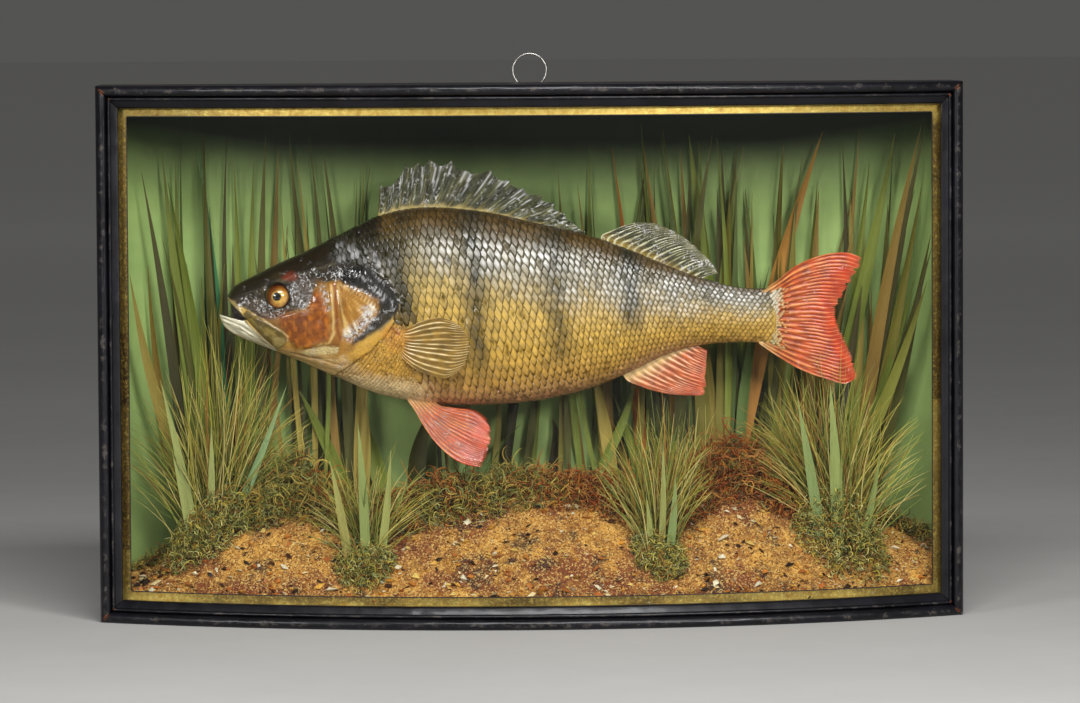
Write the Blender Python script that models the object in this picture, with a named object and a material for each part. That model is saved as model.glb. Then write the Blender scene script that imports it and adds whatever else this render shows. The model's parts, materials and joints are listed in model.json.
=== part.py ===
"""A mounted perch in a bow-fronted glass case, at life size.

The case stands on its base with the bowed glass towards -Y. The fish swims to -X and
shows its left flank. The origin is under the middle of the whole case, on the table.
Lengths are in metres, and the fish has its own frame in millimetres from its lower lip.
"""

import math

import bmesh
import bpy
import numpy as np
from mathutils import Matrix, Vector

for old in list(bpy.data.objects):
    bpy.data.objects.remove(old)

MM = 0.001
GAP = 0.0003

# ---- the case: driving sizes -------------------------------------------------
CASE_W, CASE_H = 0.520, 0.322
CASE_D = 0.145
BOW = 0.061
BOARD = 0.008
BACK_BOARD = 0.006
HANGER_D = 0.0048

Y_FRONT = -(CASE_D + HANGER_D) / 2
Y_BACK = Y_FRONT + CASE_D
Y_INNER_BACK = Y_BACK - BACK_BOARD
HALF_W = CASE_W / 2

# The bow is one circular arc in plan, through the middle and both front corners.
BOW_R = (HALF_W**2 + BOW**2) / (2 * BOW)
BOW_Y = Y_FRONT + BOW_R
FRAME_W, FRAME_D = 0.0135, 0.014
FRAME_BACK_R = BOW_R - FRAME_D
SIGHT_X = HALF_W - FRAME_W
SIGHT_LOW, SIGHT_HIGH = FRAME_W, CASE_H - FRAME_W
BOW_STEPS = 14

REBATE = 0.0036
GLASS_T, GILT_T = 0.002, 0.0006
GLASS_BACK_R = FRAME_BACK_R + REBATE - GAP - GLASS_T
GILT_BACK_R = GLASS_BACK_R - GAP - GILT_T
GLASS_LAP = 0.0052
GILT_SHOWN, GILT_LAP = 0.0052, 0.0048

BACKDROP_T = 0.0012
BACKDROP_SIDE_X = HALF_W - BOARD - GAP - BACKDROP_T
BACKDROP_Y = Y_INNER_BACK - GAP - BACKDROP_T
COVE_R = 0.045
FLOOR_Z = BOARD + GAP
CEILING_Z = CASE_H - BOARD - GAP


def material(name, colour, roughness, metallic=0.0):
    """A plain Principled finish."""
    made = bpy.data.materials.new(name)
    made.use_nodes = True
    shader = made.node_tree.nodes["Principled BSDF"]
    shader.inputs["Base Color"].default_value = (*colour, 1.0)
    shader.inputs["Roughness"].default_value = roughness
    shader.inputs["Metallic"].default_value = metallic
    return made


EBONY = material("ebonised_wood", (0.012, 0.012, 0.016), 0.3)
DEAL = material("stained_deal", (0.10, 0.06, 0.035), 0.7)
GILT = material("gilt", (0.62, 0.44, 0.13), 0.35, 1.0)
GLASS = material("old_glass", (0.85, 0.92, 0.88), 0.05)
PAINTED = material("painted_card", (0.17, 0.28, 0.10), 0.8)
SAND = material("sanded_plaster", (0.42, 0.24, 0.09), 0.9)
STEEL = material("steel_wire", (0.55, 0.54, 0.50), 0.35, 1.0)
SKIN = material("varnished_skin", (0.33, 0.24, 0.07), 0.25)
HEAD_SKIN = material("varnished_head", (0.14, 0.09, 0.05), 0.25)
RED_FIN = material("red_fin", (0.62, 0.10, 0.04), 0.35)
DARK_FIN = material("grey_fin", (0.12, 0.12, 0.06), 0.3)
AMBER_FIN = material("amber_fin", (0.45, 0.30, 0.08), 0.35)
IRIS = material("glass_eye", (0.60, 0.30, 0.03), 0.08)
REED = material("dried_reed", (0.16, 0.17, 0.05), 0.6)


# ---- mesh helpers --------------------------------------------------------------
def new_object(name, mesh_builder, finish, smooth_angle=None):
    """An object whose mesh is built by mesh_builder(bm), closed and facing outwards."""
    bm = bmesh.new()
    mesh_builder(bm)
    bmesh.ops.recalc_face_normals(bm, faces=bm.faces)
    mesh = bpy.data.meshes.new(name)
    bm.to_mesh(mesh)
    bm.free()
    mesh.materials.append(finish)
    obj = bpy.data.objects.new(name, mesh)
    bpy.context.scene.collection.objects.link(obj)
    if smooth_angle is not None:
        mesh.shade_smooth()
        mesh.set_sharp_from_angle(angle=math.radians(smooth_angle))
    return obj


def skin_rings(bm, rings, closed_ends=True):
    """Joins a list of equally long closed rings of points with quads, and caps both ends."""
    loops = [[bm.verts.new(p) for p in ring] for ring in rings]
    for near, far in zip(loops, loops[1:]):
        count = len(near)
        for i in range(count):
            j = (i + 1) % count
            bm.faces.new((near[i], near[j], far[j], far[i]))
    if closed_ends:
        bm.faces.new(loops[0])
        bm.faces.new(reversed(loops[-1]))
    return loops


def prism(bm, outline, near, far):
    """A solid between two copies of an outline: near and far map a 2-D point to 3-D."""
    skin_rings(bm, [[near(*p) for p in outline], [far(*p) for p in outline]])
    bmesh.ops.triangulate(bm, faces=[f for f in bm.faces if len(f.verts) > 4])


def helper(name, mesh_builder):
    """A cutter: it shapes other pieces and isn't part of the object."""
    obj = new_object(name, mesh_builder, EBONY)
    obj.hide_render = True
    obj.display_type = "WIRE"
    return obj


def boolean(obj, cutter, operation):
    modifier = obj.modifiers.new(f"{operation.lower()}_{cutter.name}", "BOOLEAN")
    modifier.operation = operation
    modifier.object = cutter
    modifier.solver = "EXACT"


def box(name, low, high, finish):
    def build(bm):
        bmesh.ops.create_cube(bm, size=1.0)
        size = Vector(high) - Vector(low)
        middle = (Vector(high) + Vector(low)) / 2
        bmesh.ops.transform(bm, matrix=Matrix.Diagonal((*size, 1.0)), verts=bm.verts)
        bmesh.ops.translate(bm, vec=middle, verts=bm.verts)

    return new_object(name, build, finish)


# ---- the bowed front -------------------------------------------------------------
def bow_y(x, radius):
    """Where the arc of this radius, about the bow's centre, stands at x."""
    return BOW_Y - math.sqrt(radius**2 - x**2)


def across(half_width, steps=BOW_STEPS):
    """Stations from left to right across the bow."""
    return [half_width * (2 * i / steps - 1) for i in range(steps + 1)]


def bowed_board(name, low_z, high_z):
    """A top or base board: square at the back, cut to the bow in front."""
    radius = FRAME_BACK_R - GAP
    plan = [(x, bow_y(x, radius)) for x in across(HALF_W)]
    plan += [(HALF_W, Y_INNER_BACK - GAP), (-HALF_W, Y_INNER_BACK - GAP)]

    def build(bm):
        prism(bm, plan, lambda x, y: (x, y, low_z), lambda x, y: (x, y, high_z))

    return new_object(name, build, EBONY)


def side_board(name, sign):
    x_in, x_out = sign * (HALF_W - BOARD), sign * HALF_W
    radius = FRAME_BACK_R - GAP
    plan = [(x_in, bow_y(x_in, radius)), (x_out, bow_y(x_out, radius))]
    plan += [(x_out, Y_INNER_BACK - GAP), (x_in, Y_INNER_BACK - GAP)]

    def build(bm):
        prism(bm, plan, lambda x, y: (x, y, FLOOR_Z), lambda x, y: (x, y, CEILING_Z))

    return new_object(name, build, EBONY)


def bead(centre_p, centre_q, radius, start_deg, end_deg, steps):
    """Points of a round bead in the moulding's profile."""
    turn = [math.radians(start_deg + (end_deg - start_deg) * i / steps) for i in range(steps + 1)]
    return [(centre_p + radius * math.cos(a), centre_q + radius * math.sin(a)) for a in turn]


# The moulding's profile, outwards from the sight edge (p) and forwards from its back (q):
# a sloping inner flat, a fine bead, a quirk, and the large half-round at the outside.
PROFILE = (
    [(0.0, REBATE), (0.0, 0.0062), (0.0010, 0.0072), (0.0044, 0.0088)]
    + bead(0.0056, 0.0096, 0.0010, 170, 10, 2)
    + [(0.0070, 0.0088)]
    + bead(0.0104, 0.0108, 0.0031, 168, 0, 5)
    + [(FRAME_W, 0.0), (0.0060, 0.0), (0.0060, REBATE)]
)


def rail(name, sight_z, up):
    """The top or bottom rail of the frame, swept along the bow and mitred at both ends."""

    def build(bm):
        rings = []
        for i in range(BOW_STEPS + 1):
            share = 2 * i / BOW_STEPS - 1
            ring = []
            for p, q in PROFILE:
                x = share * (SIGHT_X + p - GAP)
                ring.append((x, bow_y(x, FRAME_BACK_R + q), sight_z + up * p))
            rings.append(ring)
        skin_rings(bm, rings)
        bmesh.ops.triangulate(bm, faces=[f for f in bm.faces if len(f.verts) > 4])

    return new_object(name, build, EBONY, 40)


def stile(name, sign):
    """An upright of the frame. It meets the rails on the same mitre."""

    def build(bm):
        rings = []
        for sight_z, up in ((SIGHT_LOW, -1), (SIGHT_HIGH, 1)):
            ring = []
            for p, q in PROFILE:
                x = sign * (SIGHT_X + p)
                ring.append((x, bow_y(x, FRAME_BACK_R + q), sight_z + up * (p - GAP)))
            rings.append(ring)
        skin_rings(bm, rings)
        bmesh.ops.triangulate(bm, faces=[f for f in bm.faces if len(f.verts) > 4])

    return new_object(name, build, EBONY, 40)


def bowed_sheet(bm, half_width, low_z, high_z, back_r, thickness):
    rings = []
    for x in across(half_width):
        near, far = bow_y(x, back_r + thickness), bow_y(x, back_r)
        rings.append([(x, near, low_z), (x, far, low_z), (x, far, high_z), (x, near, high_z)])
    skin_rings(bm, rings)


def build_case():
    bowed_board("top_board", CASE_H - BOARD, CASE_H)
    bowed_board("base_board", 0.0, BOARD)
    side_board("side_board_left", -1)
    side_board("side_board_right", 1)
    box("back_board", (-HALF_W, Y_INNER_BACK, 0.0), (HALF_W, Y_BACK, CASE_H), DEAL)
    rail("frame_top", SIGHT_HIGH, 1)
    rail("frame_bottom", SIGHT_LOW, -1)
    stile("frame_stile_left", -1)
    stile("frame_stile_right", 1)

    def glass(bm):
        lap = GLASS_LAP
        bowed_sheet(bm, SIGHT_X + lap, SIGHT_LOW - lap, SIGHT_HIGH + lap, GLASS_BACK_R, GLASS_T)

    new_object("glass_pane", glass, GLASS, 30)

    def gilt_sheet(bm):
        lap = GILT_LAP
        bowed_sheet(bm, SIGHT_X + lap, SIGHT_LOW - lap, SIGHT_HIGH + lap, GILT_BACK_R, GILT_T)

    gilt = new_object("gilt_slip", gilt_sheet, GILT)
    window_x = SIGHT_X - GILT_SHOWN
    window = box(
        "gilt_window",
        (-window_x, Y_FRONT - 0.01, SIGHT_LOW + GILT_SHOWN),
        (window_x, Y_BACK, SIGHT_HIGH - GILT_SHOWN),
        EBONY,
    )
    window.hide_render = True
    window.display_type = "WIRE"
    boolean(gilt, window, "DIFFERENCE")


# ---- inside the case: painted backdrop and groundwork ------------------------------
def cove_line(inset, steps=7):
    """Plan of the backdrop, left front to right front, with coved back corners."""
    side, back, radius = BACKDROP_SIDE_X - inset, BACKDROP_Y - inset, COVE_R - inset
    front = bow_y(side, FRAME_BACK_R - GAP)
    points = [(-side, front)]
    for sign, start in ((-1, 180), (1, 90)):
        for i in range(steps + 1):
            a = math.radians(start - 90 * i / steps)
            centre = (sign * (side - radius), back - radius)
            points.append((centre[0] + radius * math.cos(a), centre[1] + radius * math.sin(a)))
    return points + [(side, front)]


def build_backdrop():
    inner, outer = cove_line(0.0), cove_line(-BACKDROP_T)

    def build(bm):
        rings = []
        for (xi, yi), (xo, yo) in zip(inner, outer):
            rings.append([(xi, yi, FLOOR_Z), (xo, yo, FLOOR_Z), (xo, yo, CEILING_Z), (xi, yi, CEILING_Z)])
        skin_rings(bm, rings)

    return new_object("backdrop", build, PAINTED, 30)


# The bank: the height of its crest from left to right, reached half way back.
CREST = (
    (-0.250, 0.018), (-0.225, 0.028), (-0.190, 0.047), (-0.130, 0.060), (-0.100, 0.050),
    (-0.060, 0.058), (0.016, 0.071), (0.055, 0.062), (0.085, 0.053), (0.122, 0.074),
    (0.160, 0.058), (0.200, 0.050), (0.250, 0.036),
)
GROUND_FRONT, GROUND_BACK_RISE, CREST_DEPTH = 0.0125, 0.008, 0.5
GROUND_COLUMNS, GROUND_ROWS = 28, 8


def curve_through(points):
    """A smooth curve y(x) through the points, with no overshoot at the ends."""
    xs, ys = np.array(points, float).T
    widths, secants = np.diff(xs), np.diff(ys) / np.diff(xs)
    inner = (secants[:-1] * widths[1:] + secants[1:] * widths[:-1]) / (widths[1:] + widths[:-1])
    slopes = np.concatenate([secants[:1], inner, secants[-1:]])

    def at(x):
        i = int(np.clip(np.searchsorted(xs, x) - 1, 0, len(xs) - 2))
        t = min(max((x - xs[i]) / widths[i], 0.0), 1.0)
        rise = ys[i] * (1 + 2 * t) * (1 - t) ** 2 + ys[i + 1] * t * t * (3 - 2 * t)
        bend = slopes[i] * t * (1 - t) ** 2 - slopes[i + 1] * t * t * (1 - t)
        return float(rise + widths[i] * bend)

    return at


crest_height = curve_through(CREST)


def back_plane_y(x, clear):
    """The backdrop's face at x, less this clearance, round the coves too."""
    side, radius = BACKDROP_SIDE_X - clear, COVE_R - clear
    into_cove = min(max(0.0, abs(x) - (side - radius)), radius)
    return BACKDROP_Y - clear - radius + math.sqrt(radius**2 - into_cove**2)


def ground_front_y(x):
    return bow_y(x, FRAME_BACK_R - 0.0008)


def ground_height(x, depth):
    """The bank's surface: low at the glass, up to the crest, then a gentle rise to the back."""
    climb = min(depth / CREST_DEPTH, 1.0)
    height = GROUND_FRONT + (crest_height(x) - GROUND_FRONT) * math.sin(climb * math.pi / 2) ** 1.3
    height += GROUND_BACK_RISE * max(0.0, depth - CREST_DEPTH) / (1 - CREST_DEPTH)
    return height + 0.0012 * math.sin(95 * x) * math.sin(7 * depth + 40 * x) * climb


def ground_point(share, depth):
    x = share * (BACKDROP_SIDE_X - 0.0012)
    front, back = ground_front_y(x), back_plane_y(x, 0.0008)
    return (x, front + (back - front) * depth, ground_height(x, depth))


def ground_z(x, y):
    front, back = ground_front_y(x), back_plane_y(x, 0.0008)
    return ground_height(x, min(max((y - front) / (back - front), 0.0), 1.0))


def ground_mesh(bm, lift=0.0):
    rings = []
    for i in range(GROUND_COLUMNS + 1):
        share = 2 * i / GROUND_COLUMNS - 1
        top = [ground_point(share, j / GROUND_ROWS) for j in range(GROUND_ROWS + 1)]
        floor = [(top[-1][0], top[-1][1], FLOOR_Z), (top[0][0], top[0][1], FLOOR_Z)]
        rings.append([(x, y, z + lift) for x, y, z in top] + floor)
    skin_rings(bm, rings)
    bmesh.ops.triangulate(bm, faces=bm.faces)


# ---- reeds and clumps of blades ---------------------------------------------------
# Each blade: foot x, tip x, tip z, greatest width, sideways sweep, distance off the backdrop.
REEDS = (
    (-0.1930, -0.2220, 0.280, 0.0075, -0.003, 0.010),
    (-0.1880, -0.2200, 0.262, 0.0085, 0.002, 0.015),
    (-0.1840, -0.2020, 0.284, 0.0080, 0.003, 0.005),
    (-0.2000, -0.2400, 0.208, 0.0075, -0.006, 0.014),
    (-0.1780, -0.1800, 0.276, 0.0055, 0.002, 0.006),
    (-0.1060, -0.1430, 0.292, 0.0065, -0.008, 0.006),
    (-0.1090, -0.1260, 0.281, 0.0070, 0.004, 0.010),
    (-0.1060, -0.1425, 0.137, 0.0085, 0.002, 0.016),
    (0.0700, 0.0510, 0.281, 0.0085, 0.004, 0.006),
    (0.0720, 0.0500, 0.134, 0.0075, 0.002, 0.014),
    (0.0800, 0.0840, 0.180, 0.0090, 0.002, 0.008),
    (0.1140, 0.0980, 0.289, 0.0120, 0.004, 0.008),
    (0.1240, 0.1300, 0.282, 0.0100, -0.004, 0.005),
    (0.1270, 0.1830, 0.291, 0.0120, -0.006, 0.012),
    (0.1720, 0.2240, 0.290, 0.0100, 0.003, 0.008),
    (0.1820, 0.2340, 0.272, 0.0090, 0.007, 0.010),
    (0.1880, 0.2400, 0.200, 0.0080, 0.004, 0.014),
)
# Each clump: foot x, foot y, cushion's width, depth and height, then its blades.
CLUMPS = {
    "left": (-0.1930, 0.0100, 0.034, 0.020, 0.020, (
        (-0.0080, -0.0310, 0.145, 0.0085), (-0.0120, -0.0245, 0.102, 0.0060),
        (-0.0010, 0.0015, 0.117, 0.0060), (0.0060, 0.0470, 0.140, 0.0070),
    )),
    "mid_left": (-0.1010, -0.0300, 0.022, 0.012, 0.010, (
        (-0.0085, -0.0210, 0.099, 0.0070), (0.0005, -0.0040, 0.121, 0.0075),
        (0.0080, 0.0155, 0.104, 0.0065),
    )),
    "mid_right": (0.0760, -0.0300, 0.020, 0.012, 0.010, (
        (0.0040, 0.0085, 0.087, 0.0065), (0.0000, 0.0010, 0.109, 0.0050),
        (-0.0060, -0.0090, 0.076, 0.0050),
    )),
    "right": (0.1870, -0.0050, 0.036, 0.020, 0.022, (
        (-0.0110, -0.0275, 0.131, 0.0085), (-0.0020, -0.0075, 0.140, 0.0095),
        (0.0100, 0.0230, 0.098, 0.0065),
    )),
}
BLADE_T = 0.0009
BLADE_STATIONS = 6


def blade_rings(foot, tip, width, sweep, stations=BLADE_STATIONS):
    """Sections of a flat blade, widest a third of the way up and drawn to a point."""
    rings = []
    for i in range(stations + 1):
        t = i / stations
        x, y, z = (a + (b - a) * t for a, b in zip(foot, tip))
        x += sweep * math.sin(math.pi * t)
        half = 0.5 * width * (0.55 + 2.2 * t * (1 - t)) * (1 - t) ** 0.5 + 0.0003
        thin = BLADE_T / 2
        rings.append([(x - half, y, z), (x, y - thin, z), (x + half, y, z), (x, y + thin, z)])
    return rings


def build_reeds():
    for number, (foot_x, tip_x, tip_z, width, sweep, stand_off) in enumerate(REEDS, 1):
        foot_y = back_plane_y(foot_x, stand_off)
        foot_z = max(ground_z(foot_x + side * width, foot_y) for side in (-1, 0, 1)) + 0.0012
        tip_y = min(back_plane_y(tip_x + side * width, 0.003) for side in (-1, 1))
        foot, tip = (foot_x, foot_y, foot_z), (tip_x, min(tip_y, foot_y + 0.004), tip_z)

        def build(bm, foot=foot, tip=tip, width=width, sweep=sweep):
            skin_rings(bm, blade_rings(foot, tip, width, sweep))

        new_object(f"reed_{number:02d}", build, REED)


def build_clumps():
    """Cushions of moss on the bank, each with stiff blades growing out of it."""
    lowered_bank = helper("bank_clearance", lambda bm: ground_mesh(bm, 2 * GAP))
    for side, (at_x, at_y, across_x, across_y, height, blades) in CLUMPS.items():
        base_z = ground_z(at_x, at_y) - 0.3 * height

        def cushion(bm, at_x=at_x, at_y=at_y, size=(across_x, across_y, height), base_z=base_z):
            bmesh.ops.create_uvsphere(bm, u_segments=12, v_segments=6, radius=1.0)
            bmesh.ops.transform(bm, matrix=Matrix.Diagonal((*size, 1.0)), verts=bm.verts)
            bmesh.ops.translate(bm, vec=(at_x, at_y, base_z), verts=bm.verts)

        clump = new_object(f"clump_{side}", cushion, REED)
        for number, (foot_dx, tip_dx, tip_z, width) in enumerate(blades, 1):
            foot = (at_x + foot_dx, at_y + 0.0011 * number, base_z + 0.35 * height)
            tip = (at_x + tip_dx, at_y + 0.0011 * number - 0.006, tip_z)

            def blade(bm, foot=foot, tip=tip, width=width):
                skin_rings(bm, blade_rings(foot, tip, width, 0.0, 4))

            boolean(clump, helper(f"clump_{side}_blade_{number}", blade), "UNION")
        boolean(clump, lowered_bank, "DIFFERENCE")


# ---- the fish: outline and sections, in millimetres from the lower lip ---------------
FISH_X, FISH_Y, FISH_Z = -0.1882, 0.018, 0.1798
TAIL_DROP = 0.0075
TAIL_SWING = 7.0

BACK_LINE = (
    (0, 8), (5.6, 16.8), (8, 19.6), (12.4, 22.4), (21.4, 27), (32, 32.4), (55.3, 43),
    (78, 54.5), (96.6, 63.5), (112, 67.3), (128, 68.5), (147, 67.5), (166, 64.9),
    (185.5, 60.7), (214.5, 54), (231, 49.4), (257, 39.7), (278, 31), (297.5, 24.4),
    (313, 20.6), (326.6, 19.6), (337, 21),
)
BELLY_LINE = (
    (0, 1.2), (1.8, -3), (6.6, -7.3), (13.2, -10.5), (22, -14), (32, -17.8),
    (48, -24.4), (68.6, -33.3), (91.5, -43.2), (112.7, -48.6), (133.3, -51), (159.4, -51.2),
    (197.6, -47.8), (222.5, -41.8), (243.8, -33.6), (276, -18.9), (291.3, -15.2), (315.6, -13.2),
    (327.7, -13.9), (337, -16.5),
)
FLANK_LINE = (
    (0, 4.5), (6, 8), (18, 12.6), (36, 17.6), (64, 22.6), (100, 26.6), (131, 28), (165, 27),
    (202, 23.6), (246, 16), (282, 10), (311, 6.8), (325, 5.2), (337, 2.6),
)
PEAR = 0.17
UPPER_LIP, LOWER_LIP = (4.8, 13.2), (0.2, 3.5)
MOUTH_CORNER = (19.0, 9.8, -1.2)
FACE_X = 40.0
BODY_END = 337.0
MOUTH_DEPTH = 15.0
SECTION_POINTS = 26
FACE_RINGS, BODY_RINGS, MOUTH_RINGS = 8, 30, 2


back_line = curve_through(BACK_LINE)
belly_line = curve_through(BELLY_LINE)
flank_line = curve_through(FLANK_LINE)


def swing(x):
    """The body's gentle sideways curve: the tail comes a little towards the glass."""
    along = max(0.0, x - 150) / 237
    return -TAIL_SWING * along**2


def section_point(x, turn, grow=0.0):
    """A point of the body's section at x. turn 0 is the ridge of the back, pi the belly."""
    top, low = back_line(x) + grow, belly_line(x) - grow
    middle, half = (top + low) / 2, (top - low) / 2
    side = (flank_line(x) + grow) * math.sin(turn) * (1 - PEAR * math.cos(turn))
    return np.array((x, side, middle + half * math.cos(turn)))


def lip_point(turn):
    """The rim of the open mouth: two jaws that meet at the mouth's corners."""
    share = abs(math.cos(turn))
    tip = UPPER_LIP if math.cos(turn) > 0 else LOWER_LIP
    corner_x, corner_y, corner_z = MOUTH_CORNER
    x = corner_x + (tip[0] - corner_x) * share
    z = corner_z + (tip[1] - corner_z) * share
    return np.array((x, corner_y * math.sin(turn), z))


def face_point(share, turn, grow=0.0):
    """From the lips (share 0) back to the first full section (share 1)."""
    lip = lip_point(turn)
    x = lip[0] + (FACE_X - lip[0]) * share
    pull = lip - section_point(lip[0], turn)
    blunt = (12 if math.cos(turn) > 0 else 6) * math.cos(turn) ** 4
    return section_point(x, turn, grow) + pull * (1 - share) ** (3 + blunt)


def mouth_point(share, turn):
    """Inside the mouth: the rim drawn back and together."""
    lip = lip_point(turn)
    throat = np.array((MOUTH_CORNER[0] + MOUTH_DEPTH, 0.0, -3.0))
    return lip + (throat - lip) * share**1.3


def in_case(point):
    """Fish millimetres to the case's frame in metres."""
    x, y, z = point
    level = z - TAIL_DROP * x
    return (FISH_X + x * MM, FISH_Y + (y + swing(x)) * MM, FISH_Z + level * MM)


def fish_body(grow=0.0, open_mouth=True):
    """Builds the whole body, from the throat out over the lips and back to the tail's root."""
    turns = [2 * math.pi * i / SECTION_POINTS for i in range(SECTION_POINTS)]

    def build(bm):
        rings = []
        if open_mouth:
            for k in range(MOUTH_RINGS, 0, -1):
                share = 0.92 * k / MOUTH_RINGS
                rings.append([in_case(mouth_point(share, a)) for a in turns])
        for k in range(FACE_RINGS):
            share = (k / FACE_RINGS) ** 1.25
            rings.append([in_case(face_point(share, a, grow)) for a in turns])
        for k in range(BODY_RINGS + 1):
            x = FACE_X + (BODY_END + grow - FACE_X) * k / BODY_RINGS
            rings.append([in_case(section_point(x, a, grow)) for a in turns])
        skin_rings(bm, rings)
        bmesh.ops.triangulate(bm, faces=[f for f in bm.faces if len(f.verts) > 4])

    return build


# Where the whole body is parted, in the side view: x, z in fish millimetres.
GILL_EDGE = (
    (82, 85), (84, 44), (92.7, 35), (100.5, 27), (107.5, 17.5), (109.8, 9.5),
    (106.5, 0.5), (100, -8.5), (91, -17.5), (80, -25.5), (68, -34), (60, -60),
)
JAW_CUT = ((-15, 9), (19.0, -1.2), (35, -18), (50, -31), (54, -60))
TAIL_CUT = 268
COVER_OUTLINE = (
    (71.5, 21.5), (82, 24.5), (92, 26), (100, 19.5), (105.5, 10), (101.8, 1.5),
    (94, -7.5), (84.5, -15.5), (77.5, -18.5), (73.6, -9), (72.2, 4),
)
COVER_PLANE = 19.5
EYE_AT, EYE_R, EYE_STEPS = (36.6, 10.8, 14.7), 9.2, 14
FAR = 60


def side_plane(y):
    """A flat side view of the fish at this distance from the middle, as a 2-D to 3-D map."""

    def at(x, z):
        level = z - TAIL_DROP * x
        return (FISH_X + x * MM, FISH_Y + y * MM, FISH_Z + level * MM)

    return at


def side_prism(name, outline, low_y, high_y):
    """A cutter with this outline in the side view, from low_y to high_y."""

    def build(bm):
        prism(bm, outline, side_plane(low_y), side_plane(high_y))

    return helper(name, build)


def shifted(outline, dx):
    return [(x + dx, z) for x, z in outline]


def eyeball(name, sign, radius, finish):
    x, y, z = EYE_AT

    def build(bm):
        bmesh.ops.create_uvsphere(bm, u_segments=EYE_STEPS, v_segments=8, radius=radius * MM)
        bmesh.ops.translate(bm, vec=Vector(in_case((x, sign * y, z))), verts=bm.verts)

    return new_object(name, build, finish, 60)


def eye_socket(name, sign):
    socket = eyeball(name, sign, EYE_R + 0.35, EBONY)
    socket.hide_render = True
    socket.display_type = "WIRE"
    return socket


def build_body():
    half_gap = GAP / MM / 2
    front = [(-20, 90)] + shifted(GILL_EDGE, -half_gap)
    under_jaw = [(x, z - half_gap) for x, z in JAW_CUT]
    over_jaw = [(x, z + half_gap) for x, z in JAW_CUT]
    head_zone = side_prism("head_zone", front + list(reversed(over_jaw)), -FAR, FAR)
    jaw_zone = side_prism("jaw_zone", under_jaw + [(-20, -60), (-20, 8)], -FAR, FAR)
    behind = shifted(GILL_EDGE, half_gap)
    trunk_outline = behind + [(TAIL_CUT - half_gap, -60), (TAIL_CUT - half_gap, 80)]
    trunk_zone = side_prism("trunk_zone", trunk_outline, -FAR, FAR)
    tail_outline = [(TAIL_CUT + half_gap, -60), (350, -60), (350, 80), (TAIL_CUT + half_gap, 80)]
    tail_zone = side_prism("tail_zone", tail_outline, -FAR, FAR)

    head = new_object("fish_head", fish_body(), HEAD_SKIN, 50)
    boolean(head, head_zone, "INTERSECT")
    for sign, side in ((-1, "left"), (1, "right")):
        boolean(head, eye_socket(f"eye_socket_{side}", sign), "DIFFERENCE")
        centre = np.mean(COVER_OUTLINE, axis=0)
        wider = [tuple(centre + (np.array(p) - centre) * 1.02) for p in COVER_OUTLINE]
        bed = side_prism(f"cover_bed_{side}", wider, sign * (COVER_PLANE - 2 * half_gap), sign * FAR)
        boolean(head, bed, "DIFFERENCE")
        plate = side_prism(f"cover_zone_{side}", COVER_OUTLINE, sign * COVER_PLANE, sign * FAR)
        cover = new_object(f"fish_gill_cover_{side}", fish_body(), HEAD_SKIN, 50)
        boolean(cover, plate, "INTERSECT")
        eyeball(f"fish_eye_{side}", sign, EYE_R, IRIS)
    jaw = new_object("fish_lower_jaw", fish_body(), HEAD_SKIN, 50)
    boolean(jaw, jaw_zone, "INTERSECT")
    trunk = new_object("fish_trunk", fish_body(), SKIN, 50)
    boolean(trunk, trunk_zone, "INTERSECT")
    tail = new_object("fish_tail_stalk", fish_body(), SKIN, 50)
    boolean(tail, tail_zone, "INTERSECT")


# ---- fins ------------------------------------------------------------------------
FIN_T = 1.0
# Spines of the first dorsal fin: root x on the back, then the free tip (x, z).
SPINES = (
    (97, 98.3, 82.1), (100, 103.1, 82.7), (104, 107.9, 85.4), (109, 113.2, 94.6), (115, 121, 96),
    (123, 128.5, 97.9), (130, 141.4, 96.9), (138, 153, 91.8), (147, 165.4, 91.5), (155, 176.5, 85.9),
    (164, 186.2, 79.9), (173, 196, 76.2), (182, 203.3, 71.1), (193, 210, 64.6), (202, 217.2, 57.2),
)
SOFT_DORSAL = (
    (231, 45.5), (230.9, 51.4), (236.3, 53.6), (243, 56.5), (250.3, 58.7), (258.2, 59.3),
    (266.7, 58.4), (280.6, 51.6), (292, 41.9), (299.3, 34.1), (302.5, 28.8), (298.5, 21),
    (280, 21.5), (262, 30), (245, 39),
)
ANAL = (
    (245, -29.5), (244.4, -34.2), (254.7, -39.8), (269.3, -44.3), (285, -45.8), (293.4, -45.2),
    (294.9, -31.6), (295.5, -18.4), (285, -18.2), (278, -15), (262, -21),
)
CAUDAL = (
    (330, 16.5), (338.8, 25), (349.2, 33.3), (362.5, 39), (372.3, 41.2), (382, 41),
    (389.3, 38.2), (388.1, 31.7), (382, 22), (377.1, 13.5), (373.4, 4.9), (375.2, -3),
    (378.9, -11), (384.9, -26), (386.7, -34), (383.1, -38.4), (369, -35.6), (352, -29.6),
    (338, -21.5), (330, -13.5),
)
PELVIC = (
    (115, -42), (113.3, -46.5), (117.5, -53.4), (123.5, -63.7), (133, -75.9), (145.2, -85),
    (157.9, -88.1), (162.2, -79), (164.4, -67.4), (162.3, -60.7), (153.3, -54.6), (142.4, -52.8),
    (134, -51.5), (126, -46),
)
PECTORAL = (
    (108.3, -4), (113, -3.4), (121.5, 0.8), (132.4, 3.5), (142.7, 0.6), (149.3, -6),
    (151.4, -14), (149.2, -23), (144.3, -29.7), (136.4, -33.4), (127.4, -31.5), (117, -26.7),
    (111, -21.5), (108.3, -17.5),
)


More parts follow.
